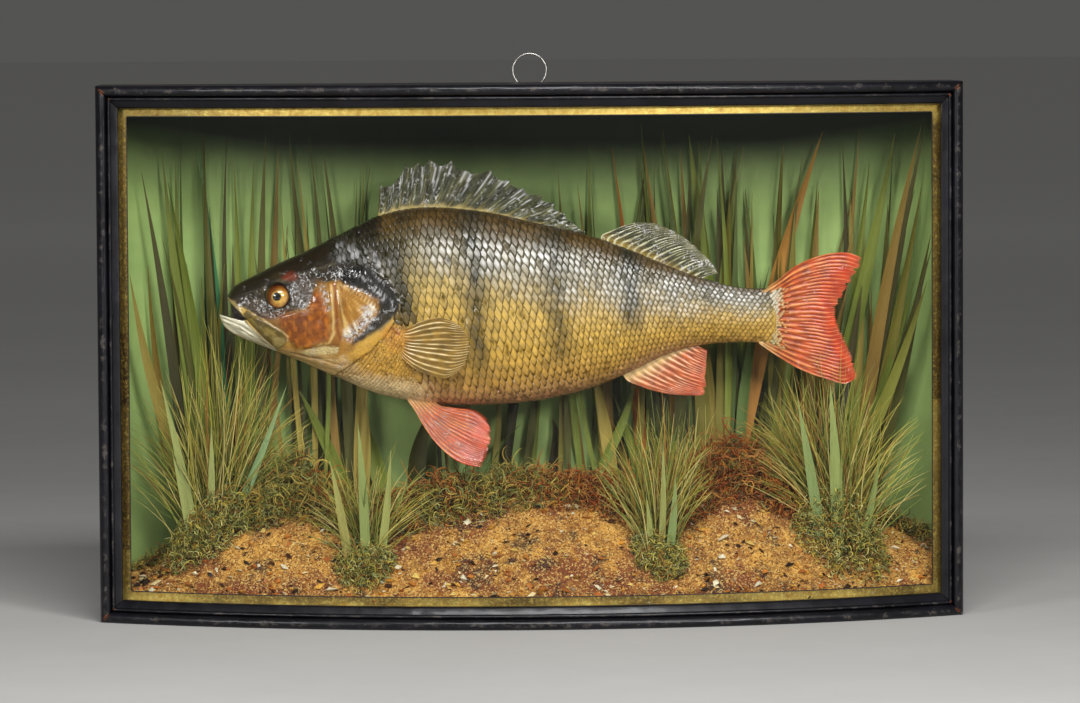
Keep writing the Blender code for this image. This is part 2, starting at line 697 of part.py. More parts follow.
def first_dorsal_outline():
    """Spine tips with the web sagging between them, and a root sunk in the back."""
    outline = [(96.2, back_line(96.2) - 3)]
    tips = [(x, z) for _, x, z in SPINES]
    for (x0, z0), (x1, z1) in zip(tips, tips[1:]):
        outline += [(x0, z0), ((x0 + x1) / 2 - 0.6, (z0 + z1) / 2 - 1.8)]
    outline.append(tips[-1])
    roots = (217, 200, 180, 160, 140, 120)
    return outline + [(x, back_line(x) - 3) for x in roots]


def fin(name, outline, finish, off_side):
    """A thin plate with this side-view outline. off_side(x, z) is how far it stands off."""

    def build(bm):
        def face(shift):
            return lambda x, z: in_case((x, off_side(x, z) + shift, z))

        prism(bm, outline, face(-FIN_T / 2), face(FIN_T / 2))
        bmesh.ops.triangulate(bm, faces=bm.faces)

    obj = new_object(name, build, finish)
    boolean(obj, bpy.data.objects["body_clearance"], "DIFFERENCE")
    return obj


def build_fins():
    helper("body_clearance", fish_body(grow=0.35, open_mouth=False))

    def median(x, z):
        return 0.0

    fin("fish_dorsal_fin_spiny", first_dorsal_outline(), DARK_FIN, median)
    fin("fish_dorsal_fin_soft", SOFT_DORSAL, DARK_FIN, median)
    fin("fish_anal_fin", ANAL, RED_FIN, median)
    fin("fish_caudal_fin", CAUDAL, RED_FIN, median)
    for sign, side in ((-1, "left"), (1, "right")):

        def pelvic_stand_off(x, z, sign=sign):
            return sign * (6.5 + 0.36 * (-48 - z))

        def pectoral_stand_off(x, z, sign=sign):
            sunk = 0.7 * max(0.0, 114 - x)
            return sign * (29.3 + 0.12 * (z + 10) + 0.12 * (x - 114) - sunk)

        fin(f"fish_pelvic_fin_{side}", PELVIC, RED_FIN, pelvic_stand_off)
        fin(f"fish_pectoral_fin_{side}", PECTORAL, AMBER_FIN, pectoral_stand_off)


# ---- what holds the fish and the case ------------------------------------------------
PEG_R = 4.0
PEGS = (("mount_peg_front", 128, 8), ("mount_peg_rear", 212, 4))
HANGER_X = 0.0022
RING_R, RING_WIRE_R = 0.0103, 0.0007
RING_Z = CASE_H + 0.0071
EYE_OUTER, EYE_INNER = 0.0022, 0.0015
RING_Y = Y_BACK + HANGER_D - EYE_OUTER
STRAP_W, STRAP_LOW = 0.006, CASE_H - 0.034
SCREW_R, SCREW_T = 0.0019, 0.0008


def build_pegs():
    """Dowels from the backdrop to the flank that doesn't show."""
    for name, x, z in PEGS:
        start = (BACKDROP_Y - GAP - FISH_Y) / MM
        outline = [
            (x + PEG_R * math.cos(a), z + PEG_R * math.sin(a))
            for a in [2 * math.pi * i / 16 for i in range(16)]
        ]

        def build(bm, outline=outline, start=start):
            prism(bm, outline, side_plane(10.0), side_plane(start))

        peg = new_object(name, build, DEAL)
        boolean(peg, bpy.data.objects["body_clearance"], "DIFFERENCE")


def build_hanger():
    def ring(bm):
        rings, turns, sides = [], 24, 6
        for i in range(turns):
            a = 2 * math.pi * i / turns
            out = Vector((math.cos(a), 0, math.sin(a)))
            centre = Vector((HANGER_X, RING_Y, RING_Z)) + RING_R * out
            loop = []
            for j in range(sides):
                b = 2 * math.pi * j / sides
                loop.append(centre + RING_WIRE_R * (math.cos(b) * out + math.sin(b) * Vector((0, 1, 0))))
            rings.append(loop)
        loops = skin_rings(bm, rings, closed_ends=False)
        for j in range(sides):
            k = (j + 1) % sides
            bm.faces.new((loops[-1][j], loops[-1][k], loops[0][k], loops[0][j]))

    new_object("hanger_ring", ring, STEEL, 60)

    # A plate screwed to the back board, with a tube round the ring's wire at its top.
    eye_z = RING_Z - RING_R
    strap_t = EYE_OUTER - EYE_INNER
    strap_y = Y_BACK + GAP
    low_x, high_x = HANGER_X - STRAP_W / 2, HANGER_X + STRAP_W / 2
    plate_high = eye_z - EYE_OUTER - GAP
    box("hanger_plate", (low_x, strap_y, STRAP_LOW), (high_x, strap_y + strap_t, plate_high), STEEL)

    def tube(bm):
        wall = [(low_x, EYE_OUTER), (high_x, EYE_OUTER), (high_x, EYE_INNER), (low_x, EYE_INNER)]
        turns = [2 * math.pi * i / 14 for i in range(14)]
        rings = [[(x, RING_Y + r * math.cos(a), eye_z + r * math.sin(a)) for x, r in wall] for a in turns]
        loops = skin_rings(bm, rings, closed_ends=False)
        for j in range(4):
            k = (j + 1) % 4
            bm.faces.new((loops[-1][j], loops[-1][k], loops[0][k], loops[0][j]))

    new_object("hanger_tube", tube, STEEL, 30)

    for name, z in (("hanger_screw_upper", STRAP_LOW + 0.019), ("hanger_screw_lower", STRAP_LOW + 0.006)):

        def screw(bm, z=z):
            bmesh.ops.create_cone(
                bm, cap_ends=True, segments=12, radius1=SCREW_R, radius2=SCREW_R * 0.6, depth=SCREW_T
            )
            turned = Matrix.Rotation(-math.pi / 2, 3, "X")
            bmesh.ops.rotate(bm, cent=(0, 0, 0), matrix=turned, verts=bm.verts)
            y = strap_y + strap_t + GAP + SCREW_T / 2
            bmesh.ops.translate(bm, vec=(HANGER_X, y, z), verts=bm.verts)

        new_object(name, screw, STEEL)


build_case()
build_backdrop()
new_object("groundwork", ground_mesh, SAND, 50)
build_reeds()
build_clumps()
build_body()
build_fins()
build_pegs()
build_hanger()
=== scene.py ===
# %% [markdown]
# # A mounted perch in a bow-fronted glass case
#
# The real object is a varnished fish on two hidden dowels, in a shallow ebonised case
# with painted walls, dried reeds and a sanded bank. The fixed frame holds every part's
# plain solid. This script keeps the solids whose shape is already right and gives them
# a finish, and stands a finer piece in the place of each of the others.

import json
import math

import bpy
import numpy as np
from mathutils import Matrix, Vector

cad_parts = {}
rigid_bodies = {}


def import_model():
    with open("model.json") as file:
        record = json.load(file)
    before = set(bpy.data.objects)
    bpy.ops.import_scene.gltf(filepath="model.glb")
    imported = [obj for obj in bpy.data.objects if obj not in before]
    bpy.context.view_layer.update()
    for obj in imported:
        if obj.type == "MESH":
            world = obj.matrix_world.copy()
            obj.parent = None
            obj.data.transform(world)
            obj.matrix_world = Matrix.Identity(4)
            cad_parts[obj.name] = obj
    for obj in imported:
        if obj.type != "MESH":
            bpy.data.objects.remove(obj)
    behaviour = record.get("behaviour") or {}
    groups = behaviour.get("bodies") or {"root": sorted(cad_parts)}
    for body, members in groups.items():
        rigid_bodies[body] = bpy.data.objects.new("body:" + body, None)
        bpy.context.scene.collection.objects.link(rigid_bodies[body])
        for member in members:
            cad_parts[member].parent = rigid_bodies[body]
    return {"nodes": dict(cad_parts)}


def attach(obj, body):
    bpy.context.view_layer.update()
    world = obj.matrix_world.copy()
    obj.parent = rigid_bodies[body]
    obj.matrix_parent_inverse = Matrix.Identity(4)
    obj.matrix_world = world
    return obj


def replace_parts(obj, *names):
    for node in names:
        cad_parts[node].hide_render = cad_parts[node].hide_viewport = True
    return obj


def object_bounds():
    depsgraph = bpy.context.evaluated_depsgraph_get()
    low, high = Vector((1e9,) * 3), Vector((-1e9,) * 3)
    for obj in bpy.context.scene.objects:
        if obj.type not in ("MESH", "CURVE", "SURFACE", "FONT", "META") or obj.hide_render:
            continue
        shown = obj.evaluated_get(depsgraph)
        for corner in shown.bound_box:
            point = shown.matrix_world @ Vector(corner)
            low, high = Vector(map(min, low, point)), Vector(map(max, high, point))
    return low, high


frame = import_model()
cad_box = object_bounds()
nodes = frame["nodes"]
print("solids in the frame:", len(nodes))

# %% [markdown]
# ## Sizes of the case
#
# The finer pieces must sit exactly where the plain ones do, so the case's driving sizes
# come first. The front is one arc in plan: every bowed part uses `bow_y`, which says
# how far forward that arc stands at a given x.

# %% Sizes of the case
MM = 0.001
GAP = 0.0003
CASE_W, CASE_H = 0.520, 0.322
CASE_D, BOW, BOARD, BACK_BOARD, HANGER_D = 0.145, 0.061, 0.008, 0.006, 0.0048
Y_FRONT = -(CASE_D + HANGER_D) / 2
Y_BACK = Y_FRONT + CASE_D
Y_INNER_BACK = Y_BACK - BACK_BOARD
HALF_W = CASE_W / 2
BOW_R = (HALF_W**2 + BOW**2) / (2 * BOW)
BOW_Y = Y_FRONT + BOW_R
FRAME_W, FRAME_D, REBATE = 0.0135, 0.014, 0.0036
FRAME_BACK_R = BOW_R - FRAME_D
SIGHT_X = HALF_W - FRAME_W
SIGHT_LOW, SIGHT_HIGH = FRAME_W, CASE_H - FRAME_W
GLASS_T, GLASS_LAP = 0.002, 0.0052
GLASS_BACK_R = FRAME_BACK_R + REBATE - GAP - GLASS_T
GILT_T, GILT_SHOWN, GILT_LAP = 0.0006, 0.0052, 0.0048
GILT_BACK_R = GLASS_BACK_R - GAP - GILT_T
BACKDROP_T = 0.0012
BACKDROP_SIDE_X = HALF_W - BOARD - GAP - BACKDROP_T
BACKDROP_Y = Y_INNER_BACK - GAP - BACKDROP_T
COVE_R = 0.045
FLOOR_Z, CEILING_Z = BOARD + GAP, CASE_H - BOARD - GAP


def bow_y(x, radius):
    """Where the arc of this radius, about the bow's centre, stands at x."""
    return BOW_Y - np.sqrt(radius**2 - np.asarray(x) ** 2)


low, high = cad_box
print("case, width depth height in mm:", [round((b - a) * 1000, 1) for a, b in zip(low, high)])

# %% [markdown]
# ## The camera
#
# A long lens stands about three metres off and a little above, so the case shows almost
# no perspective. Its axes are worked out from yaw, pitch and roll, and written straight
# into the camera's matrix.

# %% The camera
CAMERA_AT = (-0.09439, -3.12838, 0.35366)
YAW, PITCH, ROLL = 0.03188, 0.06166, -0.00551
LENS, SENSOR = 173.43, 36.0


def camera_axes(yaw, pitch, roll):
    """Right, up and backward axes of a camera that looks along +Y and is then turned."""
    ahead = Vector((math.sin(yaw), math.cos(yaw), 0.0))
    forward = math.cos(pitch) * ahead - math.sin(pitch) * Vector((0.0, 0.0, 1.0))
    level = Vector((math.cos(yaw), -math.sin(yaw), 0.0))
    upward = level.cross(forward)
    right = math.cos(roll) * level + math.sin(roll) * upward
    up = -math.sin(roll) * level + math.cos(roll) * upward
    return right, up, -forward


scene = bpy.context.scene
camera = bpy.data.objects.new("camera", bpy.data.cameras.new("camera"))
scene.collection.objects.link(camera)
camera.data.lens, camera.data.sensor_width, camera.data.sensor_fit = LENS, SENSOR, "HORIZONTAL"
camera.data.clip_end = 200.0
axes = Matrix(camera_axes(YAW, PITCH, ROLL)).transposed().to_4x4()
camera.matrix_world = Matrix.Translation(CAMERA_AT) @ axes
scene.camera = camera
print("camera at", CAMERA_AT)

# %% [markdown]
# ## Light
#
# Three soft lamps light the case through its glass: one on each side, low enough to
# reach the back wall, and one higher in front. The high one lights the upper flank, whose
# scales lean just enough to mirror it, and painted highlights on the scales add to that
# sheen. The top board keeps the first few centimetres of the back wall in shade, and the
# backdrop's paint is darkened there as painted shade.

# %% Light
def soft_lamp(name, at, aim, size, watts):
    """A soft rectangular lamp that faces a point."""
    lamp = bpy.data.lights.new(name, "AREA")
    lamp.shape, lamp.size, lamp.size_y, lamp.energy = "RECTANGLE", size[0], size[1], watts
    holder = bpy.data.objects.new(name, lamp)
    scene.collection.objects.link(holder)
    holder.location = at
    holder.rotation_euler = (Vector(aim) - Vector(at)).to_track_quat("-Z", "Y").to_euler()


CASE_MIDDLE, FISH_MIDDLE = (0, 0, 0.17), (0, 0, 0.20)
soft_lamp("lamp_left", (-1.40, -1.80, 0.76), CASE_MIDDLE, (0.6, 0.35), 19)
soft_lamp("lamp_right", (0.98, -1.95, 0.82), CASE_MIDDLE, (0.5, 0.35), 24)
soft_lamp("lamp_high", (0.12, -1.45, 1.36), FISH_MIDDLE, (1.0, 0.4), 30)

world = bpy.data.worlds.new("studio")
scene.world = world
world.use_nodes = True
sky = world.node_tree.nodes["Background"].inputs
sky["Color"].default_value, sky["Strength"].default_value = (0.80, 0.80, 0.78, 1), 0.11
scene.view_settings.view_transform = "Standard"

# %% [markdown]
# ## Tools for finishes
#
# Every finish is a tree of shader nodes. `Tree` adds a node and feeds its sockets in one
# call, so that a finish reads as a short recipe. Colours are given as they look on a
# screen, from 0 to 255, and `paint` turns them into the linear values that light needs.

# %% Tools for finishes
def paint(red, green, blue):
    """A screen colour as linear red, green, blue."""
    share = np.array((red, green, blue)) / 255
    return np.where(share <= 0.04045, share / 12.92, ((share + 0.055) / 1.055) ** 2.4)


def wire(tree, socket, value):
    """Links another node's output to the socket, or else sets its plain value."""
    if isinstance(value, bpy.types.NodeSocket):
        tree.links.new(value, socket)
    else:
        socket.default_value = (*value, 1.0) if socket.type == "RGBA" else value


class Tree:
    """Adds nodes to a node tree. Each method returns what its node puts out."""

    def __init__(self, tree):
        self.tree = tree

    def add(self, kind, sockets=None, **settings):
        node = self.tree.nodes.new(kind)
        for name, value in settings.items():
            setattr(node, name, value)
        for name, value in (sockets or {}).items():
            wire(self.tree, node.inputs[name], value)
        return node

    def place(self):
        return self.add("ShaderNodeTexCoord").outputs["Object"]

    def axis(self, where, letter):
        return self.add("ShaderNodeSeparateXYZ", {0: where}).outputs[letter]

    def carried(self, name, output="Fac"):
        """A value that each point of the mesh carries under this name."""
        return self.add("ShaderNodeAttribute", attribute_name=name).outputs[output]

    def noise(self, where, scale, detail=3.0, roughness=0.55):
        fed = {"Vector": where, "Scale": scale, "Detail": detail, "Roughness": roughness}
        return self.add("ShaderNodeTexNoise", fed).outputs["Fac"]

    def maths(self, operation, a, b=0.0, clamp=False):
        made = self.add("ShaderNodeMath", {0: a, 1: b}, operation=operation, use_clamp=clamp)
        return made.outputs[0]

    def plus(self, a, b, clamp=False):
        return self.maths("ADD", a, b, clamp)

    def less(self, a, b):
        return self.maths("SUBTRACT", a, b)

    def times(self, a, b):
        return self.maths("MULTIPLY", a, b)

    def spread(self, value, low_in, high_in, low_out=0.0, high_out=1.0):
        """The value's range low_in to high_in, stretched onto low_out to high_out."""
        fed = {0: value, 1: low_in, 2: high_in, 3: low_out, 4: high_out}
        return self.add("ShaderNodeMapRange", fed).outputs["Result"]

    def mix(self, share, a, b, blend="MIX"):
        node = self.add("ShaderNodeMix", data_type="RGBA", blend_type=blend)
        for index, value in ((0, share), (6, a), (7, b)):
            wire(self.tree, node.inputs[index], value)
        return node.outputs[2]

    def ramp(self, share, stops):
        node = self.add("ShaderNodeValToRGB", {"Fac": share})
        elements = node.color_ramp.elements
        while len(elements) < len(stops):
            elements.new(0.5)
        for element, (place, colour) in zip(elements, stops):
            element.position, element.color = place, (*colour, 1.0)
        return node.outputs["Color"]

    def stretched(self, where, scale):
        return self.add("ShaderNodeVectorMath", {0: where, 1: scale}, operation="MULTIPLY").outputs[0]

    def bump(self, height, distance, strength=1.0):
        fed = {"Height": height, "Distance": distance, "Strength": strength}
        return self.add("ShaderNodeBump", fed).outputs["Normal"]

    def group(self, made, **sockets):
        node = self.add("ShaderNodeGroup", node_tree=made)
        for name, value in sockets.items():
            wire(self.tree, node.inputs[name.replace("_", " ")], value)
        return node.outputs


def new_finish(name):
    """A material, its tree and its Principled shader."""
    made = bpy.data.materials.new(name)
    made.use_nodes = True
    tree = Tree(made.node_tree)
    return made, tree, made.node_tree.nodes["Principled BSDF"]


def feed(tree, shader, **sockets):
    """Sets or links the shader's sockets: Base_Color, Roughness and so on."""
    for name, value in sockets.items():
        wire(tree.tree, shader.inputs[name.replace("_", " ")], value)


def new_group(name, inputs, outputs):
    """An empty node group: itself, its tree, its inputs and a way to set its outputs."""
    made = bpy.data.node_groups.new(name, "ShaderNodeTree")
    for label, kind, *value in inputs:
        socket = made.interface.new_socket(name=label, in_out="INPUT", socket_type="NodeSocket" + kind)
        if value:
            socket.default_value = value[0]
    for label, kind in outputs:
        made.interface.new_socket(name=label, in_out="OUTPUT", socket_type="NodeSocket" + kind)
    tree = Tree(made)
    given = tree.add("NodeGroupInput").outputs
    results = tree.add("NodeGroupOutput").inputs
    return made, tree, given, lambda label, value: made.links.new(value, results[label])


print("tools ready")

# %% [markdown]
# ## Effects that many finishes share
#
# Old things share the same few effects, so each is one node group with named sockets:
# `mottle` is cloudy colour in two sizes, `fibres` is the streaking of wood, reeds and
# fin rays, and `rubbing` is where hands and dusters have worn a finish through.

# %% Effects that many finishes share
MOTTLE, tree, given, give = new_group(
    "mottle",
    (("Vector", "Vector"), ("Scale", "Float", 60.0), ("Dark", "Color"), ("Light", "Color")),
    (("Color", "Color"), ("Mask", "Float")),
)
broad = tree.noise(given["Vector"], given["Scale"], 5.0, 0.6)
fine = tree.noise(given["Vector"], tree.times(given["Scale"], 6.3), 3.0, 0.6)
cloud = tree.plus(tree.times(broad, 0.68), tree.times(fine, 0.32))
cloud = tree.spread(cloud, 0.36, 0.64)
give("Color", tree.mix(cloud, given["Dark"], given["Light"]))
give("Mask", cloud)

FIBRES, tree, given, give = new_group(
    "fibres",
    (("Vector", "Vector"), ("Stretch", "Vector", (900.0, 900.0, 20.0)), ("Contrast", "Float", 0.3)),
    (("Fac", "Float"), ("Height", "Float")),
)
pulled = tree.stretched(given["Vector"], given["Stretch"])
coarse = tree.noise(pulled, 1.0, 2.0, 0.5)
hair = tree.noise(pulled, 3.7, 2.0, 0.6)
strands = tree.plus(tree.times(coarse, 0.6), tree.times(hair, 0.4))
low_in = tree.less(0.5, given["Contrast"])
high_in = tree.plus(0.5, given["Contrast"])
give("Fac", tree.spread(strands, low_in, high_in))
give("Height", strands)

RUBBING, tree, given, give = new_group(
    "rubbing",
    (("Vector", "Vector"), ("Scale", "Float", 90.0), ("Amount", "Float", 0.3)),
    (("Mask", "Float"),),
)
patches = tree.noise(given["Vector"], given["Scale"], 6.0, 0.72)
scratched = tree.stretched(given["Vector"], (1.0, 1.0, 5.0))
scratches = tree.noise(scratched, tree.times(given["Scale"], 5.0), 2.0)
chance = tree.plus(tree.times(patches, 0.72), tree.times(scratches, 0.28))
edge = tree.less(0.80, tree.times(given["Amount"], 0.5))
give("Mask", tree.spread(chance, edge, tree.plus(edge, 0.05)))
print("shared effects:", [g.name for g in bpy.data.node_groups])

# %% [markdown]
# ## Tools for meshes
#
# Fine pieces are built from arrays of points: a grid of points becomes a skin of quads,
# and many small closed shapes, such as blades, strands or scales, become one joined
# mesh. Each small shape gets its own patch on the map named OFBake, so that its baked
# colour stays its own.

# %% Tools for meshes
def xyz(x, y, z):
    """Points from three coordinates, each an array or one number for all."""
    return np.stack(np.broadcast_arrays(x, y, z), -1)


def put_mesh(name, points, faces, finish, smooth=50, colour=None, uv=None, values=None):
    """One object from points and faces, with a colour, a map and other values for its points."""
    mesh = bpy.data.meshes.new(name)
    points = np.asarray(points, float).reshape(-1, 3).tolist()
    mesh.from_pydata(points, [], [list(face) for face in faces])
    mesh.materials.append(finish)
    count = len(mesh.vertices)
    if colour is not None:
        layer = mesh.color_attributes.new("tint", "FLOAT_COLOR", "POINT")
        rgba = np.ones((count, 4), np.float32)
        rgba[:, :3] = np.asarray(colour).reshape(-1, 3)
        layer.data.foreach_set("color", rgba.ravel())
    for label, numbers in (values or {}).items():
        layer = mesh.attributes.new(label, "FLOAT", "POINT")
        layer.data.foreach_set("value", np.asarray(numbers, np.float32).ravel())
    if uv is not None:
        corners = np.empty(len(mesh.loops), np.int32)
        mesh.loops.foreach_get("vertex_index", corners)
        layer = mesh.uv_layers.new(name="OFBake")
        layer.uv.foreach_set("vector", np.asarray(uv, np.float32).reshape(-1, 2)[corners].ravel())
    if smooth is not None:
        mesh.shade_smooth()
        if smooth < 180:
            mesh.set_sharp_from_angle(angle=math.radians(smooth))
    obj = bpy.data.objects.new(name, mesh)
    scene.collection.objects.link(obj)
    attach(obj, "root")
    print(f"{name}: {len(mesh.polygons)} faces")
    return obj


def grid_faces(rows, columns, loop_columns=False, loop_rows=False):
    """Quads of a grid of points that is stored row by row, as an array of four columns."""
    across = columns if loop_columns else columns - 1
    down = rows if loop_rows else rows - 1
    i, j = np.meshgrid(np.arange(down), np.arange(across), indexing="ij")
    i2, j2 = (i + 1) % rows, (j + 1) % columns
    quads = [i * columns + j, i * columns + j2, i2 * columns + j2, i2 * columns + j]
    return np.stack(quads, -1).reshape(-1, 4)


def tube_faces(rings, sides):
    """Faces of a closed tube of rings with these sides, capped at both ends."""
    caps = [list(range(sides))[::-1], [(rings - 1) * sides + k for k in range(sides)]]
    return grid_faces(rings, sides, loop_columns=True).tolist() + caps


def closed_sheet(near, far):
    """Points and faces of a thin closed sheet from its two faces, both grids of points."""
    rows, columns = near.shape[:2]
    count = rows * columns
    front = grid_faces(rows, columns)
    rim = np.concatenate([
        np.arange(columns), np.arange(1, rows) * columns + columns - 1,
        (rows - 1) * columns + np.arange(columns - 2, -1, -1), np.arange(rows - 2, 0, -1) * columns,
    ])
    after = np.roll(rim, -1)
    strip = np.stack([rim, rim + count, after + count, after], -1)
    faces = np.concatenate([front, front[:, ::-1] + count, strip])
    return np.concatenate([near.reshape(-1, 3), far.reshape(-1, 3)]), faces


def turned_round(faces):
    return [face[::-1] for face in faces]


def repeated(faces, count, points_each):
    """The faces of one small shape, repeated for each of count copies."""
    return [[i + n * points_each for i in face] for n in range(count) for face in faces]


def cell_map(count, local):
    """A map with a square cell for each of count shapes. local is the shape's own 0 to 1 map."""
    side = math.ceil(math.sqrt(count))
    number = np.arange(count)
    corner = np.stack([number % side, number // side], -1) / side
    local = np.asarray(local, float)
    return corner[:, None, :] + (0.1 + 0.8 * local[None]) / side


def smooth_step(value, low_edge, high_edge):
    """0 below the low edge, 1 above the high one, and a soft rise between."""
    share = np.clip((value - low_edge) / (high_edge - low_edge), 0.0, 1.0)
    return share * share * (3 - 2 * share)


print("mesh tools ready")

# %% [markdown]
# ## Waviness without files
#
# Hand-made surfaces are never quite true. `ripple` adds up a few slow waves in fixed
# random directions, which gives a smooth, repeatable unevenness at any size.

# %% Waviness without files
def ripple(points, wavelength, seed, waves=7):
    """A smooth value from about -1 to 1 at each point. Its waves are about this long."""
    draw = np.random.default_rng(seed)
    directions = draw.normal(size=(waves, 3))
    directions /= np.linalg.norm(directions, axis=1)[:, None]
    turns = 2 * math.pi / (wavelength * draw.uniform(0.7, 1.6, waves))
    phases = draw.uniform(0, 2 * math.pi, waves)
    waved = np.sin(np.asarray(points) @ (directions * turns[:, None]).T + phases)
    return waved.sum(-1) / math.sqrt(waves)


print("ripple at the origin:", round(float(ripple(np.zeros(3), 0.01, 1)), 3))

# %% [markdown]
# ## Ebonised wood
#
# The frame and case are stained black under shellac. A century of dusting has dulled
# the hollows and worn the corners to bare wood. The beads are greyed where they stand
# proud: partly shellac worn thin, partly a painted highlight along them.
# `crest` is a value at each point of a moulding that says how much it stands proud, and
# so how much it has been rubbed. The plain boards have no such value, and read as zero.

# %% Ebonised wood
def ebonised_wood(name, rub=0.22):
    made, tree, shader = new_finish(name)
    place = tree.place()
    crest = tree.carried("crest")
    bare = tree.carried("bare")
    amount = tree.plus(tree.times(crest, 0.34), rub)
    worn = tree.group(RUBBING, Vector=place, Scale=140.0, Amount=amount)["Mask"]
    stain = tree.group(MOTTLE, Vector=place, Scale=35.0, Dark=paint(5, 5, 8),
                       Light=paint(20, 20, 26))["Color"]
    # Grey where rubbed, most on the proud beads: partly worn shellac, partly painted highlight.
    worn_grey_and_sheen = tree.mix(tree.times(worn, 0.45), stain, paint(96, 88, 80))
    wood_chance = tree.times(bare, tree.noise(place, 420.0, 4.0, 0.7))
    wood = tree.mix(tree.times(tree.spread(wood_chance, 0.40, 0.50), 0.8), worn_grey_and_sheen, paint(104, 62, 40))
    grain = tree.group(FIBRES, Vector=place, Stretch=(60.0, 60.0, 1500.0), Contrast=0.3)["Height"]
    lumps = tree.noise(place, 520.0, 3.0, 0.6)
    height = tree.plus(tree.times(grain, 0.35), lumps)
    dull = tree.spread(tree.noise(place, 60.0, 4.0, 0.6), 0.3, 0.7, 0.28, 0.46)
    rough = tree.plus(dull, tree.times(worn, 0.16))
    feed(tree, shader, Base_Color=wood, Roughness=rough, Normal=tree.bump(height, 0.00010, 0.6))
    feed(tree, shader, Coat_Weight=0.11, Coat_Roughness=0.10, Specular_IOR_Level=0.25)
    return made


EBONISED = ebonised_wood("ebonised_wood")
for name in ("top_board", "base_board", "side_board_left", "side_board_right"):
    nodes[name].material_slots[0].material = EBONISED
print("ebonised:", EBONISED.name)

# %% [markdown]
# ## The frame's moulding
#
# The moulding runs along the bow at top and bottom and straight up both sides, mitred at
# the corners. It could be a curve with a bevel profile, but the mitres and the bow meet
# more exactly if the profile is swept in code: p runs outwards from the sight edge, and
# q forwards from the moulding's back. The profile is the plain solid's with rounder
# beads, and the beads carry the `crest` value.

# %% The frame's moulding
def bead(centre_p, centre_q, radius, start, end, steps):
    """Points of a round bead: p, q and how proud each stands."""
    turns = np.radians(np.linspace(start, end, steps + 1))
    rise = np.sin(turns)
    return list(zip(centre_p + radius * np.cos(turns), centre_q + radius * rise,
                    np.maximum(0.0, rise) ** 2))


PROFILE = np.array(
    [(0.0, REBATE, 0.0), (0.0, 0.0058, 0.1), (0.0003, 0.0066, 0.6), (0.0012, 0.0073, 0.2),
     (0.0044, 0.0087, 0.1)]
    + bead(0.0056, 0.0096, 0.0010, 175, 5, 7)
    + [(0.0069, 0.0089, 0.0), (0.0073, 0.0097, 0.0)]
    + bead(0.0104, 0.0108, 0.0031, 168, 0, 14)
    + [(FRAME_W, 0.004, 0.2), (FRAME_W, 0.0, 0.3), (0.0060, 0.0, 0.0), (0.0060, REBATE, 0.0)]
)
# How deep the dents in the front of the moulding are.
DENT = 0.00009


def moulding(name, node, stations, place):
    """Sweeps the profile. place(share, p, q) gives a point, with share from -1 to 1."""
    share = np.linspace(-1, 1, stations)[:, None]
    p, q, crest = (PROFILE[:, k][None] for k in range(3))
    points = xyz(*place(share, p, q))
    uneven = ripple(points, 0.006, 5) + 0.8 * ripple(points, 0.0021, 6)
    points[..., 1] += DENT * (uneven - 1.4) * (q > 0.005)
    near_end = np.clip((np.abs(share) - 0.984) / 0.016, 0, 1)
    bare = near_end * (0.15 + 0.75 * crest) + 0.22 * crest
    values = {"crest": crest + 0 * share, "bare": bare}
    faces = tube_faces(stations, len(PROFILE))
    obj = put_mesh(name, points, faces, EBONISED, 38, values=values)
    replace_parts(obj, node)


def rail_place(sight_z, up):
    def place(share, p, q):
        x = share * (SIGHT_X + p - GAP)
        return x, bow_y(x, FRAME_BACK_R + q), sight_z + up * p

    return place


def stile_place(sign):
    middle, half = (SIGHT_LOW + SIGHT_HIGH) / 2, (SIGHT_HIGH - SIGHT_LOW) / 2

    def place(share, p, q):
        x = sign * (SIGHT_X + p)
        return x, bow_y(x, FRAME_BACK_R + q), middle + share * (half + p - GAP)

    return place


moulding("moulding_top", "frame_top", 150, rail_place(SIGHT_HIGH, 1))
moulding("moulding_bottom", "frame_bottom", 150, rail_place(SIGHT_LOW, -1))
moulding("moulding_left", "frame_stile_left", 110, stile_place(-1))
moulding("moulding_right", "frame_stile_right", 110, stile_place(1))

# %% [markdown]
# ## The gilt slip and its black line
#
# A narrow border of metal leaf lies behind the glass, laid in short overlapping leaves,
# so its tone steps every few centimetres. Where nothing lifts it, the leaf is a dark brown
# with veins of gold. The top strip is painted lighter in its middle, as painted light, and
# the bottom strip carries painted highlights in streaky patches. A fine black line finishes
# its inner edge. The slip could be one sheet with a hole, but four swept strips give clean
# edges for the line. The steps of tone come from a random value on cells along the strip.

# %% The gilt slip
BLACK_LINE = 0.0006
RAIL_BENDS, STILE_STEPS = 121, 41


